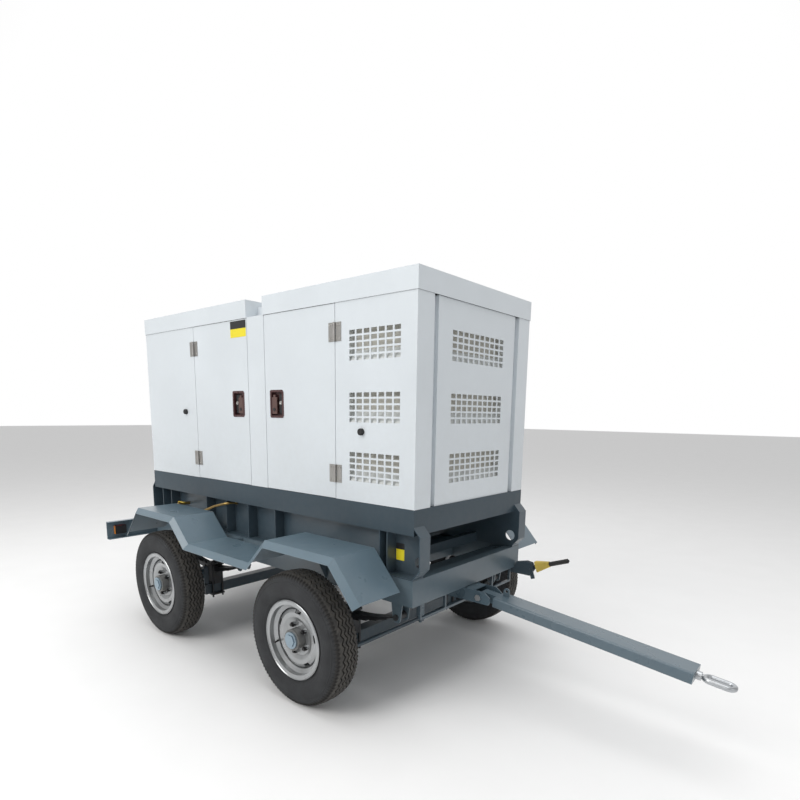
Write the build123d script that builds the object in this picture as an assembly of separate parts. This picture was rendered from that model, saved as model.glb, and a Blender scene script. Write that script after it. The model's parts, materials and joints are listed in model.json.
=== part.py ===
"""Towable diesel generator: a canopied generating set on a four-wheel drawbar trailer.

Frame: millimetres, +X towards the drawbar, +Y to the left, +Z up.  The wheels stand on Z = 0.
Everything is drawn with X = 0 at the middle of the canopy.  save() then moves each node so that
the origin lies on the ground, under the middle of the whole object.
"""
from math import cos, hypot, radians, sin
import os

from build123d import *

# ---- overall sizes ----------------------------------------------------------------------------
canopy_length = 2786
canopy_width = 1143
roof_top = 2319
roof_height = 113
canopy_bottom = 1122
band_height = 139
skid_bottom = 741
rail_height = 146
rail_width = 80
trailer_width = 1150
half_length = canopy_length / 2
half_width = canopy_width / 2

# ---- sheet and clearances ---------------------------------------------------------------------
sheet = 3
plate = 6
door_gap = 4
fit = 0.05
seat = 0.3

# ---- canopy side layout (positions along X) -----------------------------------------------------
roof_gap_rear = -21
roof_gap_front = 154
roof_lip = 4
bridge_inset = 90
bridge_drop = 36
pillar_rear = -19
pillar_front = 163
front_hinge_x = half_length - 584
rear_hinge_x = -half_length + 718
corner_return = 135
jamb_depth = 30
door_depth = 26
panel_recess = 28
panel_face_inset = 5
panel_half_width = 394

# ---- grilles ------------------------------------------------------------------------------------
cell_pitch_y = 54
cell_pitch_z = 34
cell_width = 42
cell_height = 24
side_grille_x = half_length - 289
side_grille_columns = 7
end_grille_columns = 10
grille_rows = 5
grille_heights = (1973, 1642, 1317)

# ---- doors: hinges, latches, buffers --------------------------------------------------------------
hinge_leaf = 50
hinge_height = 102
hinge_thickness = 3
hinge_heights = (2052, 1268)
hinge_barrel_radius = 7
hinge_pin_radius = 4
hinge_offset = 8
latch_width = 133
latch_height = 172
latch_from_edge = 116
latch_z = 1662
latch_offset = 24
latch_axis_z = latch_z + 50
latch_axis_depth = 6
latch_flange = 3
latch_depth = 22
buffer_radius = 19
buffer_height = 20
front_buffer = (half_length - 376, 1511)
rear_buffer = (-half_length + 573, 1606)

# ---- skid ---------------------------------------------------------------------------------------
web_y = 485
skid_rib_positions = (-half_length + 113, -half_length + 250, -613, -350, -83, 217, half_length - 249,
                      half_length - 193)
nose_reach = 43
nose_top = 1030
nose_bottom = 753
nose_bend = 47
sling_hole_radius = 34
sling_hole_x = half_length - 20
sling_hole_z = 820
crosser_positions = (-half_length + 153, -760, 420, half_length - 313)

# ---- running gear ---------------------------------------------------------------------------------
axle_front = half_length - 549
axle_rear = -half_length + 730
tyre_radius = 377.5
tyre_width = 185
track_outer = 959
rim_radius = 226
bead_radius = 203
well_radius = 178
rim_half_width = 70
spindle_radius = 22
hub_radius = 60
nut_circle = 80
nut_count = 5
vent_count = 5
drum_radius = 133
axle_size = 75
axle_top = 292
spring_y = 500
spring_half_span = 410
spring_sag = 70
spring_eye_z = 500
leaf_thickness = 8
leaf_width = 60
leaf_half_lengths = (410, 330, 250, 170, 110)
spring_bolt_radius = 10
kingpin_y = 640
kingpin_radius = 15
steer_arm = 160
tie_rod_z = 281
tie_rod_radius = 13
stud_radius = 7
stud_clearance = 1

# ---- drawbar ----------------------------------------------------------------------------------------
tongue_half_width = 72
tongue_bottom = 516
tongue_top = 590
tongue_wall = 6
fork_front = half_length + 172
kingbolt_radius = 20
drawbar_pin_x = half_length + 97
drawbar_pin_z = 552
drawbar_pin_radius = 12
drawbar_pitch = 6.3
drawbar_width = 140
drawbar_height = 60
drawbar_start = 95
drawbar_end = 1164
drawbar_wall = 5
collar_length = 24
eye_bar_radius = 13
eye_bend_radius = 27
eye_straight = 70

# ---- fenders --------------------------------------------------------------------------------------
fender_inner = 635
fender_outer = 930
fender_top = 900
fender_valley = 739
fender_low = 692
fender_flat_half = 284
fender_lip_drop = 35
fender_rear_flat = axle_rear - 12
fender_front_flat = axle_front + 46
fender_slope_run = 184
valley_rear_x = axle_rear + 420
valley_front_x = axle_front - 402

# ---- rear light bar -------------------------------------------------------------------------------
light_bar_x = -half_length - 64
light_bar_bottom = 585
light_bar_height = 142
light_bar_depth = 40
lens_proud = 12

# ---- parking brake -----------------------------------------------------------------------------------
brake_y = 540
brake_pivot_x = half_length + 107
brake_pivot_z = 606
brake_angle = 20
brake_length = 280

# ---- generating set ---------------------------------------------------------------------------------
crank_z = 1420
fan_z = 1600
crank_pulley_radius = 80
fan_pulley_radius = 60
pulley_x = -1062
block_rear = -1000
block_front = -200
flywheel_housing_front = -60
alternator_front = 640
alternator_radius = 235

# ---- fuel tank and drain valve -------------------------------------------------------------------
filler_x = -560
filler_y = -400
filler_radius = 32
filler_top = 1215
tank_bottom = skid_bottom + 60
tank_top = 1060
valve_x = -995
valve_y = -575
valve_z = 882

# ---- control cabinet -----------------------------------------------------------------------------
cabinet_x = (280, 700)
cabinet_y = (-500, -260)
cabinet_z = (1690, 2140)
stop_x = 340
stop_z = 1790
breaker_x = 560
breaker_z = 1800

# ---- values that follow ---------------------------------------------------------------------------
cap_bottom = roof_top - roof_height
band_bottom = canopy_bottom - band_height
rail_top = skid_bottom
rail_bottom = rail_top - rail_height
half_trailer = trailer_width / 2
wheel_y = track_outer - tyre_width / 2
eye_tip_local = drawbar_end + collar_length + 2 * eye_bend_radius + eye_straight + 2 * eye_bar_radius
eye_tip_x = drawbar_pin_x + eye_tip_local * cos(radians(drawbar_pitch)) \
    + eye_bar_radius * (1 - cos(radians(drawbar_pitch)))
x_middle = (light_bar_x - lens_proud + eye_tip_x) / 2


# ---- helpers ----------------------------------------------------------------------------------------
def block(x0, x1, y0, y1, z0, z1):
    """Rectangular solid between two opposite corners."""
    centre = Pos((x0 + x1) / 2, (y0 + y1) / 2, (z0 + z1) / 2)
    return centre * Box(x1 - x0, y1 - y0, z1 - z0)


def hollow_block(x0, x1, y0, y1, z0, z1, wall):
    """Closed box with walls of one thickness."""
    inner = block(x0 + wall, x1 - wall, y0 + wall, y1 - wall, z0 + wall, z1 - wall)
    return block(x0, x1, y0, y1, z0, z1) - inner


def rod_x(x0, x1, y, z, radius):
    """Round bar along X."""
    return Pos((x0 + x1) / 2, y, z) * Rot(0, 90, 0) * Cylinder(radius, x1 - x0)


def rod_y(y0, y1, x, z, radius):
    """Round bar along Y."""
    return Pos(x, (y0 + y1) / 2, z) * Rot(90, 0, 0) * Cylinder(radius, y1 - y0)


def rod_z(z0, z1, x, y, radius):
    """Round bar along Z."""
    return Pos(x, y, (z0 + z1) / 2) * Cylinder(radius, z1 - z0)


def slab_xz(points, y0, y1):
    """Outline in the XZ plane, extruded from y0 to y1."""
    face = Pos(0, y0, 0) * (Plane.XZ * Polygon(*points, align=None))
    return extrude(face, amount=y1 - y0, dir=(0, 1, 0))


def slab_xy(points, z0, z1):
    """Outline in the XY plane, extruded from z0 to z1."""
    face = Pos(0, 0, z0) * Polygon(*points, align=None)
    return extrude(face, amount=z1 - z0, dir=(0, 0, 1))


def slab_yz(points, x0, x1):
    """Outline in the YZ plane, extruded from x0 to x1."""
    face = Pos(x0, 0, 0) * (Plane.YZ * Polygon(*points, align=None))
    return extrude(face, amount=x1 - x0, dir=(1, 0, 0))


def offset_path(points, distance):
    """An open path moved sideways by a distance, to the left of its direction, with mitred corners."""
    normals = []
    for (xa, ya), (xb, yb) in zip(points, points[1:]):
        run = hypot(xb - xa, yb - ya)
        normals.append(((ya - yb) / run, (xb - xa) / run))
    moved = []
    for i, (x, y) in enumerate(points):
        before = normals[max(i - 1, 0)]
        after = normals[min(i, len(normals) - 1)]
        scale = distance / (1 + before[0] * after[0] + before[1] * after[1])
        moved.append((x + scale * (before[0] + after[0]), y + scale * (before[1] + after[1])))
    return moved


def folded(points, thickness):
    """Closed outline of a folded sheet whose outer face follows the path."""
    return points + offset_path(points, thickness)[::-1]


def mirror_y(shape):
    """The same piece on the other side of the trailer."""
    return mirror(shape, about=Plane.XZ)


def both_sides(shape):
    """A piece and its mirror image."""
    return [shape, mirror_y(shape)]


def hexagon(across_flats, thickness):
    """Hexagonal nut or head blank along Z."""
    return extrude(RegularPolygon(across_flats / 2, 6, major_radius=False), amount=thickness / 2, both=True)


def save(node, *shapes):
    """Write one node as separate solids, with the origin under the middle of the object."""
    solids = [solid for shape in shapes for solid in (Pos(-x_middle, 0, 0) * shape).solids()]
    export_step(Compound(label=node, children=solids), f"parts/{node}.step")


# ---- trailer frame ------------------------------------------------------------------------------------
def chassis_frame():
    """Side rails, end beams, cross members, spring hangers and fender struts, welded together."""
    inner = half_trailer - rail_width
    end = half_length + 1
    rail = block(-end + 60, end - 60, inner, half_trailer, rail_bottom, rail_top)
    rail -= block(-end, end, inner + plate, half_trailer - plate, rail_bottom + plate, rail_top - plate)
    pieces = both_sides(rail)
    for side in (-1, 1):
        web = block(end - plate, end, -half_trailer, half_trailer, rail_bottom, rail_top)
        top = block(end - 60, end - plate, -half_trailer, half_trailer, rail_top - plate, rail_top)
        low = block(end - 60, end - plate, -half_trailer, half_trailer, rail_bottom, rail_bottom + plate)
        cheek = block(end - 60, end - plate, half_trailer - plate, half_trailer, rail_bottom + plate,
                      rail_top - plate)
        beam = web + top + low + cheek + mirror_y(cheek)
        pieces.append(beam if side > 0 else mirror(beam, about=Plane.YZ))
    for x in (axle_rear - spring_half_span, axle_rear + spring_half_span, axle_front - spring_half_span,
              axle_front + spring_half_span):
        pieces.append(hollow_block(x - 40, x + 40, -inner, inner, rail_bottom + 20, rail_top - 20, 5))
    bolster = hollow_block(axle_front - 60, axle_front + 60, -inner, inner, tongue_top + 11, rail_top - plate, 8)
    bolster += rod_z(tongue_top + 11, rail_top - plate, axle_front, 0, 45)
    pieces.append(bolster - rod_z(rail_bottom - 10, rail_top, axle_front, 0, kingbolt_radius + fit))
    for axle in (axle_rear, axle_front):
        for end_side in (-1, 1):
            pieces += both_sides(spring_hanger(axle + end_side * spring_half_span))
    for flat in (fender_rear_flat, fender_front_flat):
        for offset in (-170, 170):
            pieces += both_sides(fender_strut(flat + offset))
    for x in (valley_rear_x + 90, valley_front_x - 90):
        top = fender_valley - sheet
        pieces += both_sides(block(x - 20, x + 20, half_trailer, fender_outer - 20, top - 8, top))
    return pieces


def spring_hanger(x):
    """Top plate and two cheeks that hold one eye of a spring."""
    inner_half = leaf_width / 2 + 1
    outer_half = inner_half + 8
    hanger = block(x - 45, x + 45, spring_y - outer_half, spring_y + outer_half, rail_bottom - 8, rail_bottom)
    for y0 in (spring_y - outer_half, spring_y + inner_half):
        cheek = [(x - 40, rail_bottom - 8), (x + 40, rail_bottom - 8), (x + 26, spring_eye_z - 20),
                 (x + 14, spring_eye_z - 32), (x - 14, spring_eye_z - 32), (x - 26, spring_eye_z - 20)]
        hanger += slab_xz(cheek, y0, y0 + 8)
    return hanger - rod_y(spring_y - 60, spring_y + 60, x, spring_eye_z, spring_bolt_radius + fit)


def fender_strut(x):
    """Upright gusset from the rail to the underside of a fender flat."""
    under = fender_top - sheet
    outline = [(half_trailer, rail_bottom + 20), (half_trailer, rail_top - 4), (fender_inner, under),
               (fender_outer - 10, under), (fender_outer - 10, under - 22), (fender_inner + 70, under - 26)]
    return slab_yz(outline, x - plate / 2, x + plate / 2)


def tongue_guide_frame():
    """Bar hung under the front beam: it carries the tongue, and its two posts stop the steering."""
    x0 = half_length - 21
    x1 = x0 + 14
    top = tongue_bottom - 0.5
    reach = 495
    bar = block(x0, x1, -reach, reach, top - 14, top)
    for y in (-reach + 7, -258, 258, reach - 7):
        bar += block(x0, x1, y - 7, y + 7, top - 1, rail_bottom)
    return fillet(bar.edges().filter_by(Axis.X).group_by(Axis.Z)[0], 12)


# ---- springs and axles ----------------------------------------------------------------------------------
def leaf_springs():
    """Leaf packs with rolled eyes on the main leaf, eye bolts, and a centre bolt under each pack."""
    pieces = []
    bend = (spring_half_span ** 2 + spring_sag ** 2) / (2 * spring_sag)
    centre_z = spring_eye_z - spring_sag + bend
    for axle in (axle_rear, axle_front):
        for index, half in enumerate(leaf_half_lengths):
            inner = bend - leaf_thickness / 2 + index * leaf_thickness
            y0 = spring_y - leaf_width / 2
            y1 = spring_y + leaf_width / 2
            leaf = rod_y(y0, y1, axle, centre_z, inner + leaf_thickness) - rod_y(y0, y1, axle, centre_z, inner)
            leaf &= block(axle - half, axle + half, y0, y1, spring_eye_z - 200, spring_eye_z + 30)
            if index == 0:
                for x in (axle - half, axle + half):
                    leaf += rod_y(y0, y1, x, spring_eye_z, 20)
                    leaf -= rod_y(y0, y1, x, spring_eye_z, spring_bolt_radius + fit)
            pieces += both_sides(leaf)
        for x in (axle - spring_half_span, axle + spring_half_span):
            bolt = rod_y(spring_y - 52, spring_y + 52, x, spring_eye_z, spring_bolt_radius)
            for y in (spring_y - 45.5, spring_y + 45.5):
                bolt += Pos(x, y, spring_eye_z) * Rot(90, 0, 0) * hexagon(30, 13)
            pieces += both_sides(bolt)
    return pieces


def pack_bottom():
    """Underside of the leaf pack over the axle."""
    return spring_eye_z - spring_sag - leaf_thickness / 2 - (len(leaf_half_lengths) - 1) * leaf_thickness


def pack_top():
    """Upper side of the main leaf over the axle."""
    return spring_eye_z - spring_sag + leaf_thickness / 2


def axle_beams():
    """Two dropped square axles; the front one ends in king pin bosses, the rear one in spindles."""
    pieces = []
    beam_end = kingpin_y - 42
    for axle in (axle_rear, axle_front):
        beam = block(axle - axle_size / 2, axle + axle_size / 2, -beam_end, beam_end, axle_top - axle_size, axle_top)
        for side in (-1, 1):
            y0 = beam_end - 38 if side > 0 else -beam_end
            upright = block(axle - 25, axle + 25, y0, y0 + 38, axle_top - 10, tyre_radius + 51)
            beam += upright
            if axle == axle_front:
                boss = rod_z(tyre_radius - 50, tyre_radius + 50, axle, side * kingpin_y, 30)
                arm = block(axle - 25, axle + 25, min(side * beam_end, side * kingpin_y),
                            max(side * beam_end, side * kingpin_y), tyre_radius - 50, tyre_radius + 50)
                beam += boss + arm
                beam -= rod_z(tyre_radius - 60, tyre_radius + 60, axle, side * kingpin_y, kingpin_radius + fit)
            else:
                inner = side * beam_end
                shoulder = side * (wheel_y - 92)
                beam += rod_y(min(inner, shoulder), max(inner, shoulder), axle, tyre_radius, 34)
                tip = side * (wheel_y + 70)
                beam += rod_y(min(inner, tip), max(inner, tip), axle, tyre_radius, spindle_radius)
                disc = side * (wheel_y - 96)
                beam += rod_y(min(disc - 4, disc + 4), max(disc - 4, disc + 4), axle, tyre_radius, drum_radius + 6)
        pieces.append(beam)
    return pieces


def axle_clamps():
    """Spring seat at each spring, and the two plates that its U-bolts pull together."""
    pieces = []
    low = pack_bottom()
    high = pack_top() + 1.6
    foot_top = axle_top - axle_size
    for axle in (axle_rear, axle_front):
        y0 = spring_y - leaf_width / 2
        y1 = spring_y + leaf_width / 2
        pieces += both_sides(block(axle - 55, axle + 55, y0, y1, axle_top, low))
        clamp = block(axle - 60, axle + 60, y0 - 22, y1 + 22, high, high + 12)
        clamp += block(axle - 60, axle + 60, y0 - 22, y1 + 22, foot_top - 12, foot_top)
        for x in (axle - 47, axle + 47):
            for y in (y0 - 11, y1 + 11):
                clamp += rod_z(foot_top - 30, high + 36, x, y, 7)
                clamp += Pos(x, y, high + 20) * hexagon(22, 16)
        pieces += both_sides(clamp)
    return pieces


def steering_pins():
    """King pins of the front axle and the king bolt that the tongue turns on."""
    pin = rod_z(tyre_radius - 84, tyre_radius + 88, axle_front, kingpin_y, kingpin_radius)
    pin += rod_z(tyre_radius + 79, tyre_radius + 88, axle_front, kingpin_y, kingpin_radius + 8)
    bolt = rod_z(tongue_bottom - 14, rail_top - plate, axle_front, 0, kingbolt_radius)
    bolt += Pos(axle_front, 0, tongue_bottom - 13) * hexagon(60, 24)
    bush = rod_z(tongue_top + seat, tongue_top + 11, axle_front, 0, 38)
    bush -= rod_z(tongue_top, tongue_top + 12, axle_front, 0, kingbolt_radius)
    return both_sides(pin) + [bolt, bush]


def knuckle():
    """Left steering knuckle: two ears on the king pin, the wheel spindle and the steering arm."""
    low = tyre_radius - 78
    high = tyre_radius + 78
    body = block(axle_front - 35, axle_front + 35, kingpin_y + 37, kingpin_y + 62, low, high)
    for z0 in (low, high - 26):
        body += block(axle_front - 30, axle_front + 30, kingpin_y, kingpin_y + 40, z0, z0 + 26)
        body += rod_z(z0, z0 + 26, axle_front, kingpin_y, 30)
    body += rod_y(kingpin_y + 50, wheel_y - 92, axle_front, tyre_radius, 34)
    body += rod_y(kingpin_y + 50, wheel_y + 70, axle_front, tyre_radius, spindle_radius)
    body += rod_y(wheel_y - 100, wheel_y - 92, axle_front, tyre_radius, drum_radius + 6)
    body -= rod_z(low - 10, high + 10, axle_front, kingpin_y, kingpin_radius + fit)
    arm_end = axle_front + steer_arm
    body += block(axle_front + 24, arm_end, kingpin_y - 12, kingpin_y + 12, low, low + 24)
    body += rod_z(low, low + 24, arm_end, kingpin_y, 20)
    body -= rod_z(low - 5, low + 30, arm_end, kingpin_y, stud_radius + stud_clearance)
    return body


def tie_rod():
    """Cross rod with an eye for the tongue in the middle and a ball stud at each end."""
    x = axle_front + steer_arm
    half = 16
    rod = rod_y(-kingpin_y, kingpin_y, x, tie_rod_z, tie_rod_radius)
    rod += rod_z(tie_rod_z - half, tie_rod_z + half, x, 0, 25)
    rod -= rod_z(tie_rod_z - half - 1, tie_rod_z + half + 1, x, 0, 10 + fit)
    arm_top = tyre_radius - 78 + 24
    for y in (-kingpin_y, kingpin_y):
        rod += rod_z(tie_rod_z - half, tie_rod_z + half, x, y, 20)
        rod += rod_z(tie_rod_z - half - 14, arm_top + 6, x, y, stud_radius)
        rod += Pos(x, y, tie_rod_z - half - 7) * hexagon(24, 14)
        rod += Pos(x, y, arm_top + 8) * hexagon(24, 12)
    return rod


# ---- wheels -----------------------------------------------------------------------------------------------
def revolved(points):
    """Outline of (radius, offset along the axle) turned about the Y axis."""
    return revolve(Polygon(*points, align=None), axis=Axis.Y)


def tyre():
    """Tyre carcass with three circumferential grooves."""
    half = tyre_width / 2
    bead = rim_half_width - 0.5
    crown = tyre_radius - 5.5
    outer = [Line((bead_radius + seat, bead), (rim_radius + 2, bead)),
             ThreePointArc((rim_radius + 2, bead), (292, half), (356, 79)),
             Line((356, 79), (crown, 64)),
             ThreePointArc((crown, 64), (tyre_radius, 0), (crown, -64)),
             Line((crown, -64), (356, -79)),
             ThreePointArc((356, -79), (292, -half), (rim_radius + 2, -bead)),
             Line((rim_radius + 2, -bead), (bead_radius + seat, -bead)),
             Line((bead_radius + seat, -bead), (bead_radius + seat, -bead + 20)),
             ThreePointArc((bead_radius + seat, -bead + 20), (285, -half + 15), (346, -60)),
             ThreePointArc((346, -60), (355, 0), (346, 60)),
             ThreePointArc((346, 60), (285, half - 15), (bead_radius + seat, bead - 20)),
             Line((bead_radius + seat, bead - 20), (bead_radius + seat, bead))]
    carcass = revolve(make_face(outer), axis=Axis.Y)
    for y in (-30, 0, 30):
        carcass -= rod_y(y - 4, y + 4, 0, 0, tyre_radius + 5) - rod_y(y - 4, y + 4, 0, 0, tyre_radius - 10)
    return carcass


def wheel_solids(side_sign):
    """Rim with disc, hub with bearings, cap, wheel nuts and brake drum, about the Y axis."""
    flange = rim_half_width + 7
    barrel = [(rim_radius, flange), (rim_radius - 6, rim_half_width + 1), (bead_radius, rim_half_width),
              (bead_radius - 3, 46), (well_radius, 34), (well_radius, -10), (bead_radius - 3, -26),
              (bead_radius, -rim_half_width), (rim_radius - 6, -rim_half_width - 1), (rim_radius, -flange)]
    disc = [(well_radius - 3, 18), (well_radius - 16, 36), (146, 43), (122, 40), (98, 28), (hub_radius, 28)]
    flat = disc[-1][1]
    rim = revolved(folded(barrel, -5)) + revolved(folded(disc, 6))
    for index in range(vent_count):
        vent = block(-22, 22, 14, 70, 145, 163)
        rim -= Rot(0, index * 360 / vent_count + 5, 0) * vent
    hub = rod_y(6, flat - 6, 0, 0, 105) + rod_y(-84, 76, 0, 0, hub_radius - seat)
    hub -= rod_y(-90, 71, 0, 0, spindle_radius + fit)
    cap = rod_y(76, 86, 0, 0, 47) + Pos(0, 89, 0) * Rot(90, 0, 0) * hexagon(60, 6)
    drum = rod_y(-72, 6, 0, 0, drum_radius) - rod_y(-80, -2, 0, 0, drum_radius - 8)
    drum -= rod_y(-80, 20, 0, 0, hub_radius)
    pieces = [hub, cap, drum]
    for index in range(nut_count):
        turn = Rot(0, index * 360 / nut_count + 30, 0)
        nut = Pos(nut_circle, flat + 10, 0) * Rot(90, 0, 0) * hexagon(26, 20)
        nut += rod_y(flat - 6, flat + 28, nut_circle, 0, 9)
        pieces.append(turn * nut)
        rim -= turn * rod_y(flat - 12, flat + 12, nut_circle, 0, 9)
    pieces.append(rim)
    if side_sign < 0:
        pieces = [mirror_y(piece) for piece in pieces]
    return pieces


# ---- tongue and drawbar ---------------------------------------------------------------------------------------
def steering_tongue():
    """Box arm from the king bolt to the drawbar fork, with the drop arm to the tie rod."""
    wall = tongue_wall
    arm = block(axle_front, 1455, -tongue_half_width, tongue_half_width, tongue_bottom, tongue_top)
    arm += rod_z(tongue_bottom, tongue_top, axle_front, 0, tongue_half_width)
    arm -= block(axle_front + 190, 1500, -tongue_half_width + wall, tongue_half_width - wall,
                 tongue_bottom + wall, tongue_top - wall)
    cheek = [(1450, tongue_bottom), (fork_front - 12, tongue_bottom), (fork_front, tongue_bottom + 12),
             (fork_front, tongue_top - 30), (fork_front - 40, tongue_top), (1450, tongue_top)]
    for y0 in (-tongue_half_width, tongue_half_width - wall):
        arm += slab_xz(cheek, y0, y0 + wall)
    arm += block(1450, drawbar_pin_x + 34, -tongue_half_width, tongue_half_width, tongue_bottom,
                 tongue_bottom + wall)
    arm -= rod_z(tongue_bottom - 5, tongue_top + 5, axle_front, 0, kingbolt_radius + fit)
    x = axle_front + steer_arm
    arm += block(x - 18, x + 18, -20, 20, tie_rod_z + 18, tongue_bottom + 2)
    arm += rod_z(tie_rod_z - 30, tie_rod_z + 20, x, 0, 10)
    reach = tongue_half_width + 16
    arm += rod_y(-reach, reach, drawbar_pin_x, drawbar_pin_z, drawbar_pin_radius)
    for y in (-tongue_half_width - 7, tongue_half_width + 7):
        arm += Pos(drawbar_pin_x, y, drawbar_pin_z) * Rot(90, 0, 0) * hexagon(36, 14)
    return arm


def on_drawbar(shape):
    """From the drawbar's own frame, with the hinge pin at its origin, to the trailer's."""
    return Pos(drawbar_pin_x, 0, drawbar_pin_z) * Rot(0, drawbar_pitch, 0) * shape


def drawbar():
    """Rounded box tube with a hinge lug, an end plate and a small chain lug."""
    half_w = drawbar_width / 2
    half_h = drawbar_height / 2
    tube = block(drawbar_start, drawbar_end, -half_w, half_w, -half_h, half_h)
    tube = fillet(tube.edges().filter_by(Axis.X), 11)
    wall = drawbar_wall
    tube -= block(drawbar_start + 12, drawbar_end - 8, -half_w + wall, half_w - wall, -half_h + wall,
                  half_h - wall)
    lug = block(0, drawbar_start + 1, -30, 30, -26, 26) + rod_y(-30, 30, 0, 0, 26)
    lug -= rod_y(-40, 40, 0, 0, drawbar_pin_radius + fit)
    chain_lug = block(112, 150, 10, 18, half_h - 1, half_h + 30) + rod_y(10, 18, 131, half_h + 30, 19)
    chain_lug -= rod_y(5, 25, 131, half_h + 30, 9)
    return on_drawbar(tube + lug + chain_lug)


def tow_eye():
    """Round collar and a bar bent into a long flat loop."""
    rear_x = drawbar_end + collar_length + eye_bar_radius + eye_bend_radius
    middle = rear_x + eye_straight / 2
    section = Plane.XZ * Pos(eye_bend_radius, 0) * Circle(eye_bar_radius)
    bend = revolve(section, axis=Axis.Z, revolution_arc=180)
    bar = Pos(-eye_straight / 2, 0, 0) * Rot(0, 0, 90) * bend + Pos(eye_straight / 2, 0, 0) * Rot(0, 0, -90) * bend
    for y in (-eye_bend_radius, eye_bend_radius):
        bar += rod_x(-eye_straight / 2, eye_straight / 2, y, 0, eye_bar_radius)
    collar = rod_x(drawbar_end, drawbar_end + collar_length, 0, 0, 21)
    collar += rod_x(drawbar_end, rear_x - eye_bend_radius, 0, 0, eye_bar_radius)
    return on_drawbar(Pos(middle, 0, 0) * bar + collar)


# ---- fenders, light bar, parking brake ------------------------------------------------------------------------
def fender_path():
    """The fender's folded line from its rear end to its front end, as (X, Z)."""
    rear0 = fender_rear_flat - fender_flat_half + 22
    rear1 = fender_rear_flat + fender_flat_half - 21
    front0 = fender_front_flat - fender_flat_half
    front1 = fender_front_flat + fender_flat_half
    return [(rear0 - fender_slope_run, fender_low), (rear0, fender_top), (rear1, fender_top),
            (valley_rear_x, fender_valley), (valley_front_x, fender_valley), (front0, fender_top),
            (front1, fender_top), (front1 + fender_slope_run, fender_low)]


def fender_face(y, drop):
    """Section of the fender sheet in the plane at y, moved down square to the sheet."""
    path = fender_path()
    outline = offset_path(path, -drop) + offset_path(path, -drop - sheet)[::-1]
    return Pos(0, y, 0) * (Plane.XZ * Polygon(*outline, align=None))


def fender():
    """Left fender: one folded sheet over both wheels with a turned-down outer lip."""
    top = extrude(fender_face(fender_inner, 0), amount=fender_outer - fender_inner, dir=(0, 1, 0))
    lip = loft([fender_face(fender_outer, 0), fender_face(track_outer, fender_lip_drop)], ruled=True)
    return top + lip


def light_bar():
    """Channel across the rear, behind the wheels, with two stays to the rear beam."""
    rear = light_bar_x
    top = light_bar_bottom + light_bar_height
    section = [(rear, light_bar_bottom), (rear + light_bar_depth, light_bar_bottom),
               (rear + light_bar_depth, light_bar_bottom + 4), (rear + 4, light_bar_bottom + 4),
               (rear + 4, top - 4), (rear + light_bar_depth, top - 4), (rear + light_bar_depth, top), (rear, top)]
    bar = slab_xz(section, -track_outer, track_outer)
    for y in (-860, 860):
        bar -= block(rear - 1, rear + 5, y - 45, y + 45, light_bar_bottom + 35, light_bar_bottom + 105)
    stays = []
    for y in (-380, 380):
        stays.append(block(rear + light_bar_depth, -half_length - 1, y - 30, y + 30, rail_bottom + 10,
                           light_bar_bottom + light_bar_height))
        stays.append(block(rear + 4, rear + light_bar_depth, y - 30, y + 30, light_bar_bottom + 4, top - 4))
    return [bar] + stays


def tail_lamps():
    """Two rear lamps, each with a body through the bar and a lens behind it."""
    pieces = []
    low = light_bar_bottom + 35
    body = block(light_bar_x, light_bar_x + 30, 816, 904, low + 1, low + 69)
    lens = block(light_bar_x - lens_proud, light_bar_x, 800, 920, low - 10, low + 80)
    for piece in (body, fillet(lens.edges().filter_by(Axis.X), 8)):
        pieces += both_sides(piece)
    return pieces


def brake_bracket():
    """Two cheeks under the front beam with the ratchet quadrant between them."""
    low = brake_pivot_z - 50
    outline = [(half_length - 60, rail_bottom), (half_length + 2, rail_bottom), (half_length + 12, rail_bottom + 40),
               (brake_pivot_x - 20, brake_pivot_z + 46), (brake_pivot_x + 20, brake_pivot_z + 40),
               (brake_pivot_x + 40, brake_pivot_z), (brake_pivot_x + 10, low), (half_length - 40, low)]
    cheeks = [slab_xz(outline, brake_y + y0, brake_y + y0 + 4) for y0 in (-13, 9)]
    spacer = rod_y(brake_y - 9, brake_y + 9, half_length + 30, rail_bottom - 10, 12)
    pin = rod_y(brake_y - 20, brake_y + 20, brake_pivot_x, brake_pivot_z, 8)
    bracket = cheeks[0] + cheeks[1] + spacer + pin
    return bracket


def on_brake(shape):
    """From the brake lever's own frame, with its pivot at the origin, to the trailer's."""
    return Pos(brake_pivot_x, brake_y, brake_pivot_z) * Rot(0, -brake_angle, 0) * shape


def brake_lever():
    """Flat lever with its pivot eye, the cover over its ratchet rod, the grip and the cable tail."""
    arm = block(0, 150, -5, 5, -12, 12) + rod_y(-8, 8, 0, 0, 22) + block(-8, 18, -5, 5, -75, 0)
    arm -= rod_y(-30, 30, 0, 0, 8 + fit)
    section0 = Pos(58, 0, 0) * (Plane.YZ * RectangleRounded(52, 74, 12))
    section1 = Pos(150, 0, 0) * (Plane.YZ * RectangleRounded(34, 36, 12))
    cover = loft([section0, section1], ruled=True)
    cover -= block(0, 150, -5, 5, -12, 12)
    grip = rod_x(150, brake_length, 0, 0, 15)
    grip -= rod_x(brake_length - 30, brake_length + 1, 0, 0, 8)
    grip = fillet(grip.edges().group_by(Axis.X)[0], 4)
    return [on_brake(arm), on_brake(cover), on_brake(grip)]


def brake_button():
    """Release button in the end of the grip."""
    button = rod_x(brake_length - 20, brake_length + 9, 0, 0, 7)
    return on_brake(fillet(button.edges().group_by(Axis.X)[-1], 2))


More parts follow.
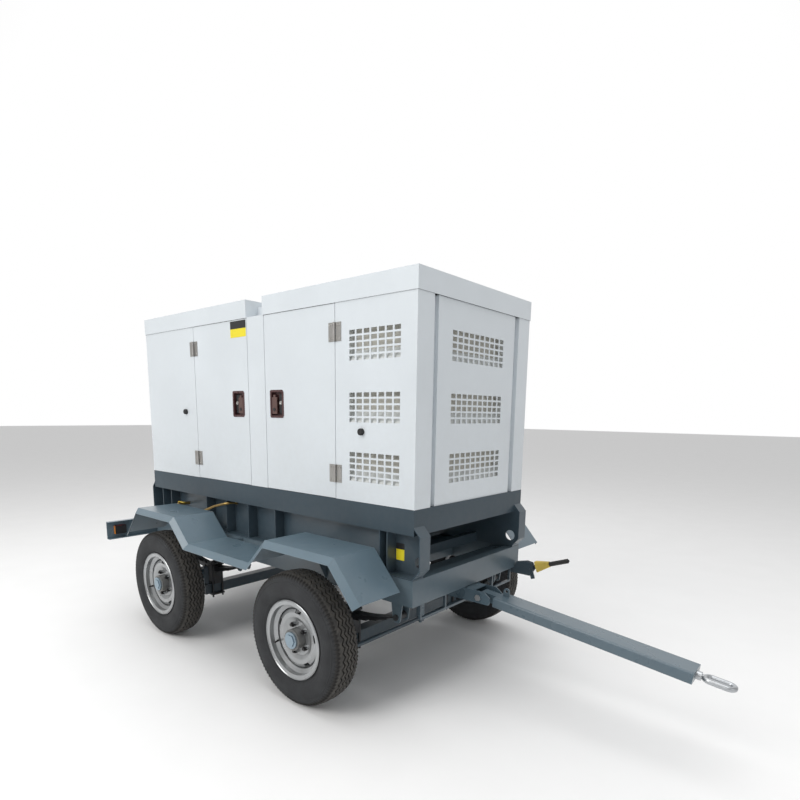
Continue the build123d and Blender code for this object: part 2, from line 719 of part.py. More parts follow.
# ---- skid -------------------------------------------------------------------------------------------------------
def skid_frame():
    """Side webs with sling holes, bottom flanges, ribs, corner straps and cross members."""
    inside = half_length - 4
    nose_x = half_length + nose_reach
    nose = [(half_length, band_bottom), (half_length, nose_top), (nose_x, nose_top - nose_bend),
            (nose_x, nose_bottom + nose_bend), (half_length, nose_bottom), (half_length, skid_bottom)]
    front = [(inside, canopy_bottom - plate), (inside, band_bottom)] + nose
    web = slab_xz(front + [(-x, z) for x, z in reversed(front)], web_y, web_y + plate)
    for x in (-sling_hole_x, sling_hole_x):
        web -= rod_y(web_y - 5, web_y + plate + 5, x, sling_hole_z, sling_hole_radius)
    pieces = both_sides(web)
    outer = web_y + plate
    pieces += both_sides(block(-half_length, half_length, outer, half_trailer - 4, skid_bottom, skid_bottom + plate))
    for x in skid_rib_positions:
        rib = block(x - plate / 2, x + plate / 2, outer, half_width - 8, skid_bottom + plate, band_bottom)
        pieces += both_sides(rib)
    strap = slab_xz(folded(nose[1:5], -plate), outer, half_width)
    strap -= block(0, half_length, outer - 1, half_width + 1, skid_bottom, canopy_bottom)
    pieces += both_sides(strap) + both_sides(mirror(strap, about=Plane.YZ))
    for x in crosser_positions:
        pieces.append(hollow_block(x - 30, x + 30, -web_y, web_y, skid_bottom, skid_bottom + 60, 4))
    return pieces


def skid_deck():
    """Deck plate and the band that hangs from its edge all round."""
    deck = block(-half_length + 4, half_length - 4, -half_width + 4, half_width - 4, canopy_bottom - plate,
                 canopy_bottom)
    deck -= rod_z(canopy_bottom - 20, canopy_bottom + 20, filler_x, filler_y, filler_radius + 3)
    pieces = [deck]
    side = block(-half_length, half_length, half_width - 4, half_width, band_bottom, canopy_bottom)
    pieces += both_sides(side)
    end = block(half_length - 4, half_length, -half_width + 4, half_width - 4, band_bottom, canopy_bottom)
    pieces += [end, mirror(end, about=Plane.YZ)]
    return pieces


def fuel_tank():
    """Base tank between the skid webs, with its filler neck up through the deck."""
    tank = hollow_block(-1150, 500, -web_y + 12, web_y - 12, tank_bottom, tank_top, 4)
    neck = rod_z(tank_top - 2, filler_top, filler_x, filler_y, filler_radius)
    neck -= rod_z(tank_top - 10, filler_top + 1, filler_x, filler_y, filler_radius - 3)
    return tank + neck


def fuel_cap():
    """Cap that turns on the filler neck."""
    cap = rod_z(filler_top - 22, filler_top + 14, filler_x, filler_y, filler_radius + 9)
    cap -= rod_z(filler_top - 23, filler_top + 2, filler_x, filler_y, filler_radius + 0.6)
    cap += block(filler_x - 34, filler_x + 34, filler_y - 5, filler_y + 5, filler_top + 13, filler_top + 26)
    return cap


def oil_drain_pipe():
    """Bent brass oil drain pipe that comes out through the side web."""
    start = -web_y - plate
    path = FilletPolyline((-325, start, 962), (-325, -580, 962), (-470, -583, 926), (-615, -590, 874), radius=34)
    section = Plane(origin=path @ 0, z_dir=path % 0) * Circle(9)
    return sweep(section, path=path) + rod_y(start - 12, start, -325, 962, 16)


def drain_valve_body():
    """Drain valve that stands out from the side web, with its stem."""
    body = rod_y(valve_y - 14, -web_y - plate, valve_x, valve_z, 12)
    return body + rod_z(valve_z, valve_z + 24, valve_x, valve_y, 5)


def drain_valve_handle():
    """Flat handle that turns on the stem of the drain valve."""
    handle = block(valve_x, valve_x + 72, valve_y - 8, valve_y + 8, valve_z + 16, valve_z + 21)
    handle += rod_z(valve_z + 16, valve_z + 21, valve_x, valve_y, 12)
    return handle - rod_z(valve_z, valve_z + 30, valve_x, valve_y, 5 + fit)


# ---- canopy -------------------------------------------------------------------------------------------------------
def roof_section(x0, x1, rear_lip, front_lip):
    """Roof pan: a folded cap, open underneath, whose outer walls stand proud of the panels."""
    side = half_width + roof_lip
    cap = block(x0 - rear_lip, x1 + front_lip, -side, side, cap_bottom, roof_top)
    cap -= block(x0 + sheet, x1 - sheet, -half_width + sheet, half_width - sheet, cap_bottom - 1,
                 roof_top - sheet)
    return cap


def roof_bridge():
    """Lower cover between the two roof sections, and the floor strips beside it."""
    edge = half_width - bridge_inset
    top = roof_top - bridge_drop
    outline = [(-edge, cap_bottom), (-edge, top), (edge, top), (edge, cap_bottom)]
    bridge = slab_yz(folded(outline, -sheet), roof_gap_rear, roof_gap_front)
    floor = block(roof_gap_rear, roof_gap_front, edge, half_width, cap_bottom, cap_bottom + sheet)
    pieces = [bridge] + both_sides(floor)
    for x in (roof_gap_rear + 30, roof_gap_front - 30):
        bolt = Pos(x, edge + 35, cap_bottom + sheet + 4) * hexagon(17, 8)
        pieces += both_sides(bolt)
    return pieces


def grille_cells(columns):
    """Offsets of the openings of one grille, as (across, up) pairs."""
    across = [(i - (columns - 1) / 2) * cell_pitch_y for i in range(columns)]
    up = [(i - (grille_rows - 1) / 2) * cell_pitch_z for i in range(grille_rows)]
    return [(a, u) for a in across for u in up]


def side_panels():
    """Left side: rear corner panel, pillar and front corner panel with its three grilles."""
    edge = door_gap / 2
    front = [(front_hinge_x + edge, half_width - jamb_depth), (front_hinge_x + edge, half_width),
             (half_length, half_width), (half_length, half_width - corner_return),
             (half_length - jamb_depth, half_width - corner_return)]
    rear = [(rear_hinge_x - edge, half_width - jamb_depth), (rear_hinge_x - edge, half_width),
            (-half_length, half_width), (-half_length, half_width - corner_return),
            (-half_length + jamb_depth, half_width - corner_return)]
    pillar = [(pillar_rear + edge, half_width - jamb_depth), (pillar_rear + edge, half_width),
              (pillar_front - edge, half_width), (pillar_front - edge, half_width - jamb_depth)]
    front_panel = slab_xy(folded(front, -sheet), canopy_bottom, cap_bottom)
    rear_panel = slab_xy(folded(rear, sheet), canopy_bottom, cap_bottom)
    pillar_panel = slab_xy(folded(pillar, -sheet), canopy_bottom, cap_bottom)
    cutters = []
    for z in grille_heights:
        for across, up in grille_cells(side_grille_columns):
            x = side_grille_x + across
            cutters.append(block(x - cell_width / 2, x + cell_width / 2, half_width - sheet - 1, half_width + 1,
                                 z + up - cell_height / 2, z + up + cell_height / 2))
    front_panel -= cutters
    return [rear_panel, pillar_panel, front_panel]


def end_panel():
    """Front end panel: raised centre with three grilles, and recessed edges behind the corner panels."""
    edge = half_width - corner_return
    deep = half_length - panel_recess
    face = half_length - panel_face_inset
    path = [(deep, -edge), (deep, -panel_half_width), (face, -panel_half_width), (face, panel_half_width),
            (deep, panel_half_width), (deep, edge)]
    panel = slab_xy(folded(path, sheet), canopy_bottom, cap_bottom)
    cutters = []
    for z in grille_heights:
        for across, up in grille_cells(end_grille_columns):
            cutters.append(block(face - sheet - 1, face + 1, across - cell_width / 2, across + cell_width / 2,
                                 z + up - cell_height / 2, z + up + cell_height / 2))
    return panel - cutters


def door(hinge_x, latch_x):
    """Left-hand door pan, its latch dish, and its hinge leaves, as separate solids."""
    edge = door_gap / 2
    x0 = min(hinge_x, latch_x) + edge
    x1 = max(hinge_x, latch_x) - edge
    z0 = canopy_bottom + edge
    z1 = cap_bottom - edge
    pan = block(x0, x1, half_width - door_depth, half_width, z0, z1)
    pan -= block(x0 + sheet, x1 - sheet, half_width - door_depth - 1, half_width - sheet, z0 + sheet, z1 - sheet)
    direction = 1 if hinge_x > latch_x else -1
    centre = latch_x + direction * latch_from_edge
    dish_w = latch_width - 24
    dish_h = latch_height - 24
    pan -= block(centre - dish_w / 2 - 1, centre + dish_w / 2 + 1, half_width - 10, half_width + 1,
                 latch_z - dish_h / 2 - 1, latch_z + dish_h / 2 + 1)
    flange = block(centre - latch_width / 2, centre + latch_width / 2, half_width, half_width + latch_flange,
                   latch_z - latch_height / 2, latch_z + latch_height / 2)
    flange = fillet(flange.edges().filter_by(Axis.Y), 12)
    dish = block(centre - dish_w / 2, centre + dish_w / 2, half_width - latch_depth, half_width + 1,
                 latch_z - dish_h / 2, latch_z + dish_h / 2)
    frame = flange + dish
    frame -= block(centre - dish_w / 2 + 2, centre + dish_w / 2 - 2, half_width - latch_depth + 2,
                   half_width + 10, latch_z - dish_h / 2 + 2, latch_z + dish_h / 2 - 2)
    side_x = centre - direction * latch_offset
    axis_y = half_width - latch_axis_depth
    for x0 in (side_x - 13, side_x + 10):
        frame += block(x0, x0 + 3, half_width - latch_depth + 1, half_width - 1, latch_axis_z - 6, latch_axis_z + 6)
    frame -= rod_x(side_x - 20, side_x + 20, axis_y, latch_axis_z, 3 + fit)
    pieces = [pan, frame]
    pieces += [hinge_half(hinge_x, -direction, z, False) for z in hinge_heights]
    return pieces


def hinge_half(x, direction, z, fixed):
    """Leaf and knuckles of one hinge: the fixed half has the outer knuckles and the pin."""
    axis_y = half_width + hinge_offset
    third = hinge_height / 3
    bore = hinge_pin_radius + fit
    spans = [(-hinge_height / 2, -third / 2 - 0.3), (third / 2 + 0.3, hinge_height / 2)]
    if not fixed:
        spans = [(-third / 2, third / 2)]
    half = Part()
    for low, high in spans:
        near = x + direction * 2
        far = x + direction * 14
        half += rod_z(z + low, z + high, x, axis_y, hinge_barrel_radius)
        half += block(min(near, far), max(near, far), half_width + seat / 3, half_width + hinge_thickness,
                      z + low, z + high)
        half += block(min(x, near), max(x, near), half_width + 1, half_width + hinge_thickness, z + low, z + high)
    start = x + direction * 9
    end = x + direction * hinge_leaf
    half += block(min(start, end), max(start, end), half_width + seat / 3, half_width + hinge_thickness,
                  z - hinge_height / 2, z + hinge_height / 2)
    if fixed:
        half += rod_z(z - hinge_height / 2, z + hinge_height / 2, x, axis_y, hinge_pin_radius)
    else:
        half -= rod_z(z - hinge_height, z + hinge_height, x, axis_y, bore)
    return half


def fixed_hinges():
    """The hinge halves on the corner panels, with their pins, for all four doors."""
    pieces = []
    for x, direction in ((front_hinge_x, 1), (rear_hinge_x, -1)):
        for z in hinge_heights:
            pieces += both_sides(hinge_half(x, direction, z, True))
    return pieces


def latch_handle(hinge_x, latch_x):
    """Paddle handle in the dish of a left-hand door, with its pivot pin and lock barrel."""
    direction = 1 if hinge_x > latch_x else -1
    centre = latch_x + direction * latch_from_edge - direction * latch_offset
    paddle = block(centre - 24, centre + 24, half_width - 8, half_width + 2, latch_z - 62, latch_axis_z - 8)
    paddle = fillet(paddle.edges().filter_by(Axis.Y), 6)
    root = block(centre - 9.5, centre + 9.5, half_width - 11, half_width + 2, latch_axis_z - 12, latch_axis_z + 6)
    pin = rod_x(centre - 13, centre + 13, half_width - latch_axis_depth, latch_axis_z, 3)
    barrel = rod_y(half_width + 1, half_width + 5, centre, latch_z - 34, 11)
    return paddle + root + pin + barrel


def door_buffers():
    """Rubber stops on the corner panels that catch the opened doors."""
    pieces = []
    for x, z in (front_buffer, rear_buffer):
        button = rod_y(half_width, half_width + buffer_height, x, z, buffer_radius)
        button = fillet(button.edges().group_by(Axis.Y)[-1], 6)
        pieces += both_sides(button)
    return pieces


# ---- generating set ---------------------------------------------------------------------------------------------
def engine_block():
    """Cast block with its head, rocker cover, oil pan, manifolds, flywheel housing and mounts."""
    shaft = 35
    body = hollow_block(block_rear, block_front, -190, 190, 1310, 1640, 22)
    body -= rod_x(block_rear - 1, block_front + 1, 0, crank_z, shaft + fit)
    head = hollow_block(block_rear + 20, block_front - 20, -150, 150, 1640, 1760, 30)
    cover = hollow_block(block_rear + 50, block_front - 50, -90, 90, 1760, 1830, 4)
    pan = hollow_block(block_rear + 30, block_front - 30, -150, 150, 1180, 1310, 5)
    housing = rod_x(block_front, flywheel_housing_front, 0, crank_z, 240)
    housing -= rod_x(block_front + 12, flywheel_housing_front + 1, 0, crank_z, 222)
    housing -= rod_x(block_front - 1, block_front + 20, 0, crank_z, shaft + fit)
    inlet = block(block_rear + 60, block_front - 60, 150, 215, 1660, 1740)
    outlet = block(block_rear + 60, block_front - 60, -205, -150, 1670, 1730)
    pieces = [body, head, cover, pan, housing, inlet, outlet]
    for x in (block_rear + 120, flywheel_housing_front - 80):
        foot = block(x - 40, x + 40, 190 if x < block_front else 150, 290, 1250, 1340)
        if x > block_front:
            foot -= rod_x(x - 50, x + 50, 0, crank_z, 240)
        rubber = rod_z(canopy_bottom + 40, 1250, x, 260, 32)
        stand = block(x - 60, x + 60, 215, 305, canopy_bottom, canopy_bottom + 40)
        pieces += both_sides(foot) + both_sides(rubber) + both_sides(stand)
    return pieces


def crankshaft_and_rotor():
    """Crankshaft with its front pulley, the flywheel, and the alternator rotor bolted to it."""
    shaft = rod_x(pulley_x - 20, block_front + 40, 0, crank_z, 35)
    pulley = rod_x(pulley_x - 20, pulley_x + 20, 0, crank_z, crank_pulley_radius)
    flywheel = rod_x(block_front + 40, flywheel_housing_front - 20, 0, crank_z, 205)
    rotor_shaft = rod_x(flywheel_housing_front - 20, alternator_front + 30, 0, crank_z, 35)
    core = rod_x(140, 440, 0, crank_z, 130)
    return [shaft + pulley, flywheel, rotor_shaft + core]


def cooling_fan():
    """Belt-driven fan with eight twisted blades, its hub and its pulley."""
    hub = rod_x(pulley_x - 75, pulley_x + 20, 0, fan_z, 32)
    hub += rod_x(pulley_x - 20, pulley_x + 20, 0, fan_z, fan_pulley_radius)
    hub -= rod_x(pulley_x - 30, pulley_x + 30, 0, fan_z, 15 + fit)
    for index in range(8):
        blade = Rot(0, 0, 30) * Box(6, 78, 190)
        blade = Pos(pulley_x - 52, 0, 0) * Pos(0, 0, 115) * blade
        hub += Pos(0, 0, fan_z) * Rot(index * 45, 0, 0) * blade
    return hub


def fan_spindle():
    """Bracket on the block that carries the fan's bearing shaft."""
    shaft = rod_x(pulley_x - 25, block_rear, 0, fan_z, 15)
    return shaft + block(block_rear - 12, block_rear, -60, 60, fan_z - 70, fan_z + 38)


def fan_belt():
    """V-belt over the crank pulley and the fan pulley."""
    x0 = pulley_x - 8
    x1 = pulley_x + 8
    gap = seat
    outer = 9
    span = fan_z - crank_z
    lean = (crank_pulley_radius - fan_pulley_radius) / span
    rise = (1 - lean ** 2) ** 0.5

    def loop(grow):
        """Outline round both pulleys, grown outward."""
        low = crank_pulley_radius + grow
        high = fan_pulley_radius + grow
        sides = [(low * rise, crank_z + low * lean), (high * rise, fan_z + high * lean),
                 (-high * rise, fan_z + high * lean), (-low * rise, crank_z + low * lean)]
        body = slab_yz(sides, x0, x1)
        return body + rod_x(x0, x1, 0, crank_z, low) + rod_x(x0, x1, 0, fan_z, high)

    return loop(gap + outer) - loop(gap)


def alternator_housing():
    """Alternator frame round the rotor, with end shield, feet and terminal box."""
    x0 = flywheel_housing_front
    body = rod_x(x0, alternator_front, 0, crank_z, alternator_radius)
    body -= rod_x(x0 - 1, alternator_front - 14, 0, crank_z, alternator_radius - 20)
    body -= rod_x(x0 - 1, alternator_front + 1, 0, crank_z, 35 + fit)
    stator = rod_x(150, 430, 0, crank_z, alternator_radius - 20)
    stator -= rod_x(100, 500, 0, crank_z, 134)
    for y0 in (-190, 130):
        body += block(80, 480, y0, y0 + 60, canopy_bottom, crank_z - 160)
    box = hollow_block(120, 460, -150, 150, crank_z + alternator_radius - 6, crank_z + alternator_radius + 150, 4)
    body += box
    body -= rod_x(x0 - 1, alternator_front - 14, 0, crank_z, alternator_radius - 20)
    return body + stator


def radiator():
    """Radiator core with tanks, and the shroud round the fan."""
    core = block(-1320, -1240, -330, 330, 1240, 1960)
    top = hollow_block(-1335, -1225, -340, 340, 1960, 2050, 4)
    low = hollow_block(-1335, -1225, -340, 340, canopy_bottom, 1240, 4)
    shroud = hollow_block(-1240, -1095, -310, 310, 1290, 1910, 4)
    shroud -= block(-1245, -1230, -290, 290, 1310, 1890)
    shroud -= rod_x(-1100, -1090, 0, fan_z, 240)
    return [core, top, low, shroud]


def silencer():
    """Exhaust silencer over the engine, with its inlet pipe and two hangers."""
    can = rod_x(-820, -120, -300, 2060, 110) - rod_x(-816, -124, -300, 2060, 106)
    pipe = rod_z(1735, 2010, -470, -240, 34) - rod_z(1730, 2020, -470, -240, 30)
    pipe -= rod_x(-820, -120, -300, 2060, 110)
    elbow = block(-510, -430, -275, -205, 1665, 1735)
    pieces = [can, pipe, elbow]
    for x in (-700, -240):
        pieces.append(block(x - 15, x + 15, -320, -280, 2170, roof_top - sheet))
    return pieces


def air_cleaner():
    """Round air cleaner beside the engine, its saddle, and the duct to the inlet."""
    can = rod_x(-900, -560, 290, 1830, 105) - rod_x(-896, -564, 290, 1830, 100)
    saddle = block(-760, -640, 160, 250, 1740, 1800) - rod_x(-900, -560, 290, 1830, 105)
    duct = hollow_block(-560, -500, 165, 325, 1740, 1865, 4)
    return [can, saddle, duct]


def battery():
    """Starting battery on the deck, with its two terminals."""
    case = block(-130, 130, 310, 490, canopy_bottom, canopy_bottom + 230)
    posts = [rod_z(canopy_bottom + 230, canopy_bottom + 248, x, 350, 9) for x in (-95, 95)]
    return [case] + posts


def control_cabinet():
    """Control cabinet on a stand, its controller face, breaker body and stop button socket."""
    x0, x1 = cabinet_x
    y0, y1 = cabinet_y
    z0, z1 = cabinet_z
    case = hollow_block(x0, x1, y0, y1, z0, z1, 3)
    case -= rod_y(y0 - 1, y0 + 5, stop_x, stop_z, 11)
    collar = rod_y(y0 - 6, y0, stop_x, stop_z, 20) - rod_y(y0 - 7, y0 + 1, stop_x, stop_z, 11)
    screen = block(x0 + 130, x1 - 50, y0 - 14, y0, z1 - 180, z1 - 50)
    breaker = block(breaker_x - 60, breaker_x + 60, y0 - 12, y0, breaker_z - 70, breaker_z + 70)
    breaker -= block(breaker_x - 13.3, breaker_x + 13.3, y0 - 13, y0 - 1, breaker_z - 45, breaker_z + 45)
    pieces = [case, collar, screen, breaker]
    for x in (x0 + 30, x1 - 30):
        pieces.append(block(x - 20, x + 20, y1 - 45, y1 - 5, canopy_bottom, z0))
    return pieces


def emergency_stop():
    """Red mushroom button that travels in its collar."""
    y0 = cabinet_y[0]
    stem = rod_y(y0 - 18, y0 + 20, stop_x, stop_z, 10.9)
    head = rod_y(y0 - 32, y0 - 14, stop_x, stop_z, 20)
    return stem + fillet(head.edges().group_by(Axis.Y)[0], 6)


def breaker_handle():
    """Toggle of the main breaker, on its pivot in the breaker's pocket."""
    axis_y = cabinet_y[0] - 7
    pivot = rod_x(breaker_x - 13, breaker_x + 13, axis_y, breaker_z, 5)
    return pivot + Pos(breaker_x, axis_y, breaker_z) * Rot(-30, 0, 0) * block(-10, 10, -24, 0, -4.5, 4.5)


def main():
    """Write every node."""
    os.makedirs("parts", exist_ok=True)
    save("chassis_frame", *chassis_frame())
    save("tongue_guide_frame", tongue_guide_frame())
    save("leaf_springs", *leaf_springs())
    save("axle_beams", *axle_beams())
    save("axle_clamps", *axle_clamps())
    save("steering_pins", *steering_pins())
    save("knuckle_left", knuckle())
    save("knuckle_right", mirror_y(knuckle()))
    save("tie_rod", tie_rod())
    save("steering_tongue", steering_tongue())
    save("drawbar", drawbar())
    save("tow_eye", tow_eye())
    rubber = tyre()
    for axle_name, axle in (("front", axle_front), ("rear", axle_rear)):
        for side_name, side in (("left", 1), ("right", -1)):
            place = Pos(axle, side * wheel_y, tyre_radius)
            save(f"tyre_{axle_name}_{side_name}", place * rubber)
            save(f"wheel_{axle_name}_{side_name}", *[place * piece for piece in wheel_solids(side)])
    save("fender_left", fender())
    save("fender_right", mirror_y(fender()))
    save("light_bar", *light_bar())
    save("tail_lamps", *tail_lamps())
    save("handbrake_bracket", brake_bracket())
    save("handbrake_lever", *brake_lever())
    save("handbrake_button", brake_button())
    save("skid_frame", *skid_frame(), drain_valve_body())
    save("skid_deck", *skid_deck())
    save("fuel_tank", fuel_tank())
    save("fuel_cap", fuel_cap())
    save("oil_drain_pipe", oil_drain_pipe())
    save("drain_valve_handle", drain_valve_handle())
    save("roof_front", roof_section(roof_gap_front, half_length, 0, roof_lip))
    save("roof_rear", roof_section(-half_length, roof_gap_rear, roof_lip, 0), *roof_bridge())
    save("side_panels_left", *side_panels())
    save("side_panels_right", *[mirror_y(piece) for piece in side_panels()])
    save("end_grille_panels", end_panel(), mirror(end_panel(), about=Plane.YZ))
    save("door_hinge_halves", *fixed_hinges())
    save("door_buffers", *door_buffers())
    for name, hinge_x, latch_x in (("front", front_hinge_x, pillar_front), ("rear", rear_hinge_x, pillar_rear)):
        pieces = door(hinge_x, latch_x)
        handle = latch_handle(hinge_x, latch_x)
        save(f"door_{name}_left", *pieces)
        save(f"door_{name}_right", *[mirror_y(piece) for piece in pieces])
        save(f"latch_handle_{name}_left", handle)
        save(f"latch_handle_{name}_right", mirror_y(handle))
    save("engine_block", *engine_block(), fan_spindle())
    save("crankshaft_and_rotor", *crankshaft_and_rotor())
    save("cooling_fan", cooling_fan())
    save("fan_belt", fan_belt())
    save("alternator_housing", alternator_housing())
    save("radiator", *radiator())
    save("silencer", *silencer())
    save("air_cleaner", *air_cleaner())
    save("battery", *battery())
    save("control_cabinet", *control_cabinet())
    save("emergency_stop", emergency_stop())
    save("breaker_handle", breaker_handle())
    print("origin shift", round(-x_middle, 3), "eye tip", round(eye_tip_x, 3))


main()
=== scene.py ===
"""Looks of the towable diesel generator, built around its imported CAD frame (metres, +Z up)."""

import json
from math import cos, hypot, pi, radians, sin

import bmesh
import bpy
from mathutils import Matrix, Vector


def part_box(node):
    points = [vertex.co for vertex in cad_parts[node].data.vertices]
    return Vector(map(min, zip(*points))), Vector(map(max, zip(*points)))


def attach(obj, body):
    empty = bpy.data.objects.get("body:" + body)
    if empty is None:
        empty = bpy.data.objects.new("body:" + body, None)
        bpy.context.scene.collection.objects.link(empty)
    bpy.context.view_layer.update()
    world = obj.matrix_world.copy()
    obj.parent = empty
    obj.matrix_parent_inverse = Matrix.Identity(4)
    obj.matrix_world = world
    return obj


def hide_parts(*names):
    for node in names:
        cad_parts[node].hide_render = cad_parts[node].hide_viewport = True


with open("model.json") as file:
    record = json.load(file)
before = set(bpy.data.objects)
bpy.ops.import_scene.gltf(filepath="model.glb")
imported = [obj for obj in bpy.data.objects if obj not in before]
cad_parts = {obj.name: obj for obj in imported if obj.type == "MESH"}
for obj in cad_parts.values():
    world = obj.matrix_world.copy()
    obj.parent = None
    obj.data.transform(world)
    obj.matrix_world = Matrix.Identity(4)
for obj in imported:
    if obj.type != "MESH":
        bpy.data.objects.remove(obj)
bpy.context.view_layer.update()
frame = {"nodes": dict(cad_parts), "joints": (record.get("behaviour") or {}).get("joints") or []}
nodes = frame["nodes"]


def middle(node):
    """Centre of a CAD node's box."""
    low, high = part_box(node)
    return (low + high) / 2


SIDES = (("right", -1), ("left", 1))
CORNERS = [(axle, side, sign) for axle in ("front", "rear") for side, sign in SIDES]
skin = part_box("side_panels_left")[1].y      # outer face of the side panels and doors
LATCH_Z = 1.662                             # height of the latches' middle


# ---- materials ------------------------------------------------------------------------------------
def material(name, roughness=0.5, metallic=0.0):
    """New node material with its tree, its Principled shader and object coordinates."""
    mat = bpy.data.materials.new(name)
    mat.use_nodes = True
    tree = mat.node_tree
    shader = tree.nodes["Principled BSDF"]
    shader.inputs["Roughness"].default_value = roughness
    shader.inputs["Metallic"].default_value = metallic
    coords = tree.nodes.new("ShaderNodeTexCoord").outputs["Object"]
    return mat, tree, shader, coords


def noise(tree, coords, scale, detail=4.0, rough=0.5, stretch=(1, 1, 1)):
    """Noise value over the object."""
    mapping = tree.nodes.new("ShaderNodeMapping")
    mapping.inputs["Scale"].default_value = stretch
    tree.links.new(coords, mapping.inputs["Vector"])
    node = tree.nodes.new("ShaderNodeTexNoise")
    node.inputs["Scale"].default_value = scale
    node.inputs["Detail"].default_value = detail
    node.inputs["Roughness"].default_value = rough
    tree.links.new(mapping.outputs["Vector"], node.inputs["Vector"])
    return node.outputs["Fac"]


def between(tree, value, low, high, out_low=0.0, out_high=1.0):
    """Value mapped from one range to another, clamped."""
    node = tree.nodes.new("ShaderNodeMapRange")
    node.inputs["From Min"].default_value = low
    node.inputs["From Max"].default_value = high
    node.inputs["To Min"].default_value = out_low
    node.inputs["To Max"].default_value = out_high
    tree.links.new(value, node.inputs["Value"])
    return node.outputs["Result"]


def product(tree, a, b):
    """Two values multiplied."""
    node = tree.nodes.new("ShaderNodeMath")
    node.operation = "MULTIPLY"
    tree.links.new(a, node.inputs[0])
    if isinstance(b, float):
        node.inputs[1].default_value = b
    else:
        tree.links.new(b, node.inputs[1])
    return node.outputs["Value"]


def mixed(tree, factor, a, b):
    """Two colours mixed; each is an RGB triple or a colour output."""
    node = tree.nodes.new("ShaderNodeMix")
    node.data_type = "RGBA"
    tree.links.new(factor, node.inputs["Factor"])
    for colour, socket in ((a, node.inputs["A"]), (b, node.inputs["B"])):
        if isinstance(colour, tuple):
            socket.default_value = (*colour, 1.0)
        else:
            tree.links.new(colour, socket)
    return node.outputs["Result"]


def bumped(tree, shader, height, strength, distance):
    """Surface relief from a height value; a second call adds to the first."""
    node = tree.nodes.new("ShaderNodeBump")
    node.inputs["Strength"].default_value = strength
    node.inputs["Distance"].default_value = distance
    tree.links.new(height, node.inputs["Height"])
    earlier = shader.inputs["Normal"].links
    if earlier:
        tree.links.new(earlier[0].from_socket, node.inputs["Normal"])
    tree.links.new(node.outputs["Normal"], shader.inputs["Normal"])


def axis_value(tree, coords, axis):
    """One coordinate of the object's space."""
    node = tree.nodes.new("ShaderNodeSeparateXYZ")
    tree.links.new(coords, node.inputs["Vector"])
    return node.outputs[axis]


def paint(name, colour, roughness=0.38, vary=0.08, dust=(0.42, 0.38, 0.32), dust_amount=0.10,
          dust_low=0.0, dust_high=1.0, peel=0.05, coat=0.15, wear=None, specular=0.5):
    """Sprayed paint: cloudy tone, orange peel, thin dust that thickens downward, and worn flecks."""
    mat, tree, shader, coords = material(name, roughness)
    cloud = noise(tree, coords, 2.2, 5.0)
    darker = tuple(c * (1 - vary) for c in colour)
    lighter = tuple(min(c * (1 + vary), 1.0) for c in colour)
    base = mixed(tree, between(tree, cloud, 0.3, 0.7), darker, lighter)
    fall = between(tree, axis_value(tree, coords, "Z"), dust_low, dust_high, 1.0, 0.15)
    specks = between(tree, noise(tree, coords, 26.0, 3.0, 0.5), 0.25, 0.80)
    base = mixed(tree, product(tree, product(tree, specks, fall), dust_amount), base, dust)
    if wear:
        flecks = between(tree, noise(tree, coords, 120.0, 6.0, 0.7), 0.68, 0.72)
        places = between(tree, noise(tree, coords, 7.0, 3.0), 0.55, 0.65)
        base = mixed(tree, product(tree, flecks, places), base, wear)
    tree.links.new(base, shader.inputs["Base Color"])
    rough = between(tree, noise(tree, coords, 9.0, 2.0), 0.25, 0.75, roughness - 0.04, roughness + 0.06)
    tree.links.new(rough, shader.inputs["Roughness"])
    shader.inputs["Coat Weight"].default_value = coat
    shader.inputs["Specular IOR Level"].default_value = specular
    shader.inputs["Coat Roughness"].default_value = 0.25
    bumped(tree, shader, noise(tree, coords, 420.0, 2.0), peel, 0.0004)
    bumped(tree, shader, noise(tree, coords, 3.0, 2.0), 0.10, 0.004)
    return mat


def metal(name, colour, roughness=0.35, stain=(0.20, 0.17, 0.14), stain_amount=0.35, grain=(1, 1, 18),
          scale=90.0):
    """Bare or plated metal with fine directional grain and stains."""
    mat, tree, shader, coords = material(name, roughness, 0.9)
    lines = noise(tree, coords, scale, 4.0, 0.6, grain)
    base = mixed(tree, between(tree, lines, 0.3, 0.7), tuple(c * 0.82 for c in colour), colour)
    marks = between(tree, noise(tree, coords, 22.0, 7.0, 0.6), 0.52, 0.72)
    base = mixed(tree, product(tree, marks, stain_amount), base, stain)
    tree.links.new(base, shader.inputs["Base Color"])
    rough = between(tree, lines, 0.2, 0.8, roughness - 0.08, roughness + 0.15)
    tree.links.new(rough, shader.inputs["Roughness"])
    bumped(tree, shader, lines, 0.12, 0.0004)
    return mat


def plastic(name, colour, roughness=0.45, texture=260.0, relief=0.12, vary=0.15):
    """Moulded plastic or rubber with a fine pebbled skin."""
    mat, tree, shader, coords = material(name, roughness)
    tone = noise(tree, coords, 9.0, 5.0)
    base = mixed(tree, between(tree, tone, 0.3, 0.7), tuple(c * (1 - vary) for c in colour),
                 tuple(min(1.0, c * (1 + vary)) for c in colour))
    tree.links.new(base, shader.inputs["Base Color"])
    rough = between(tree, tone, 0.3, 0.7, roughness - 0.08, roughness + 0.12)
    tree.links.new(rough, shader.inputs["Roughness"])
    bumped(tree, shader, noise(tree, coords, texture, 3.0), relief, 0.0006)
    return mat


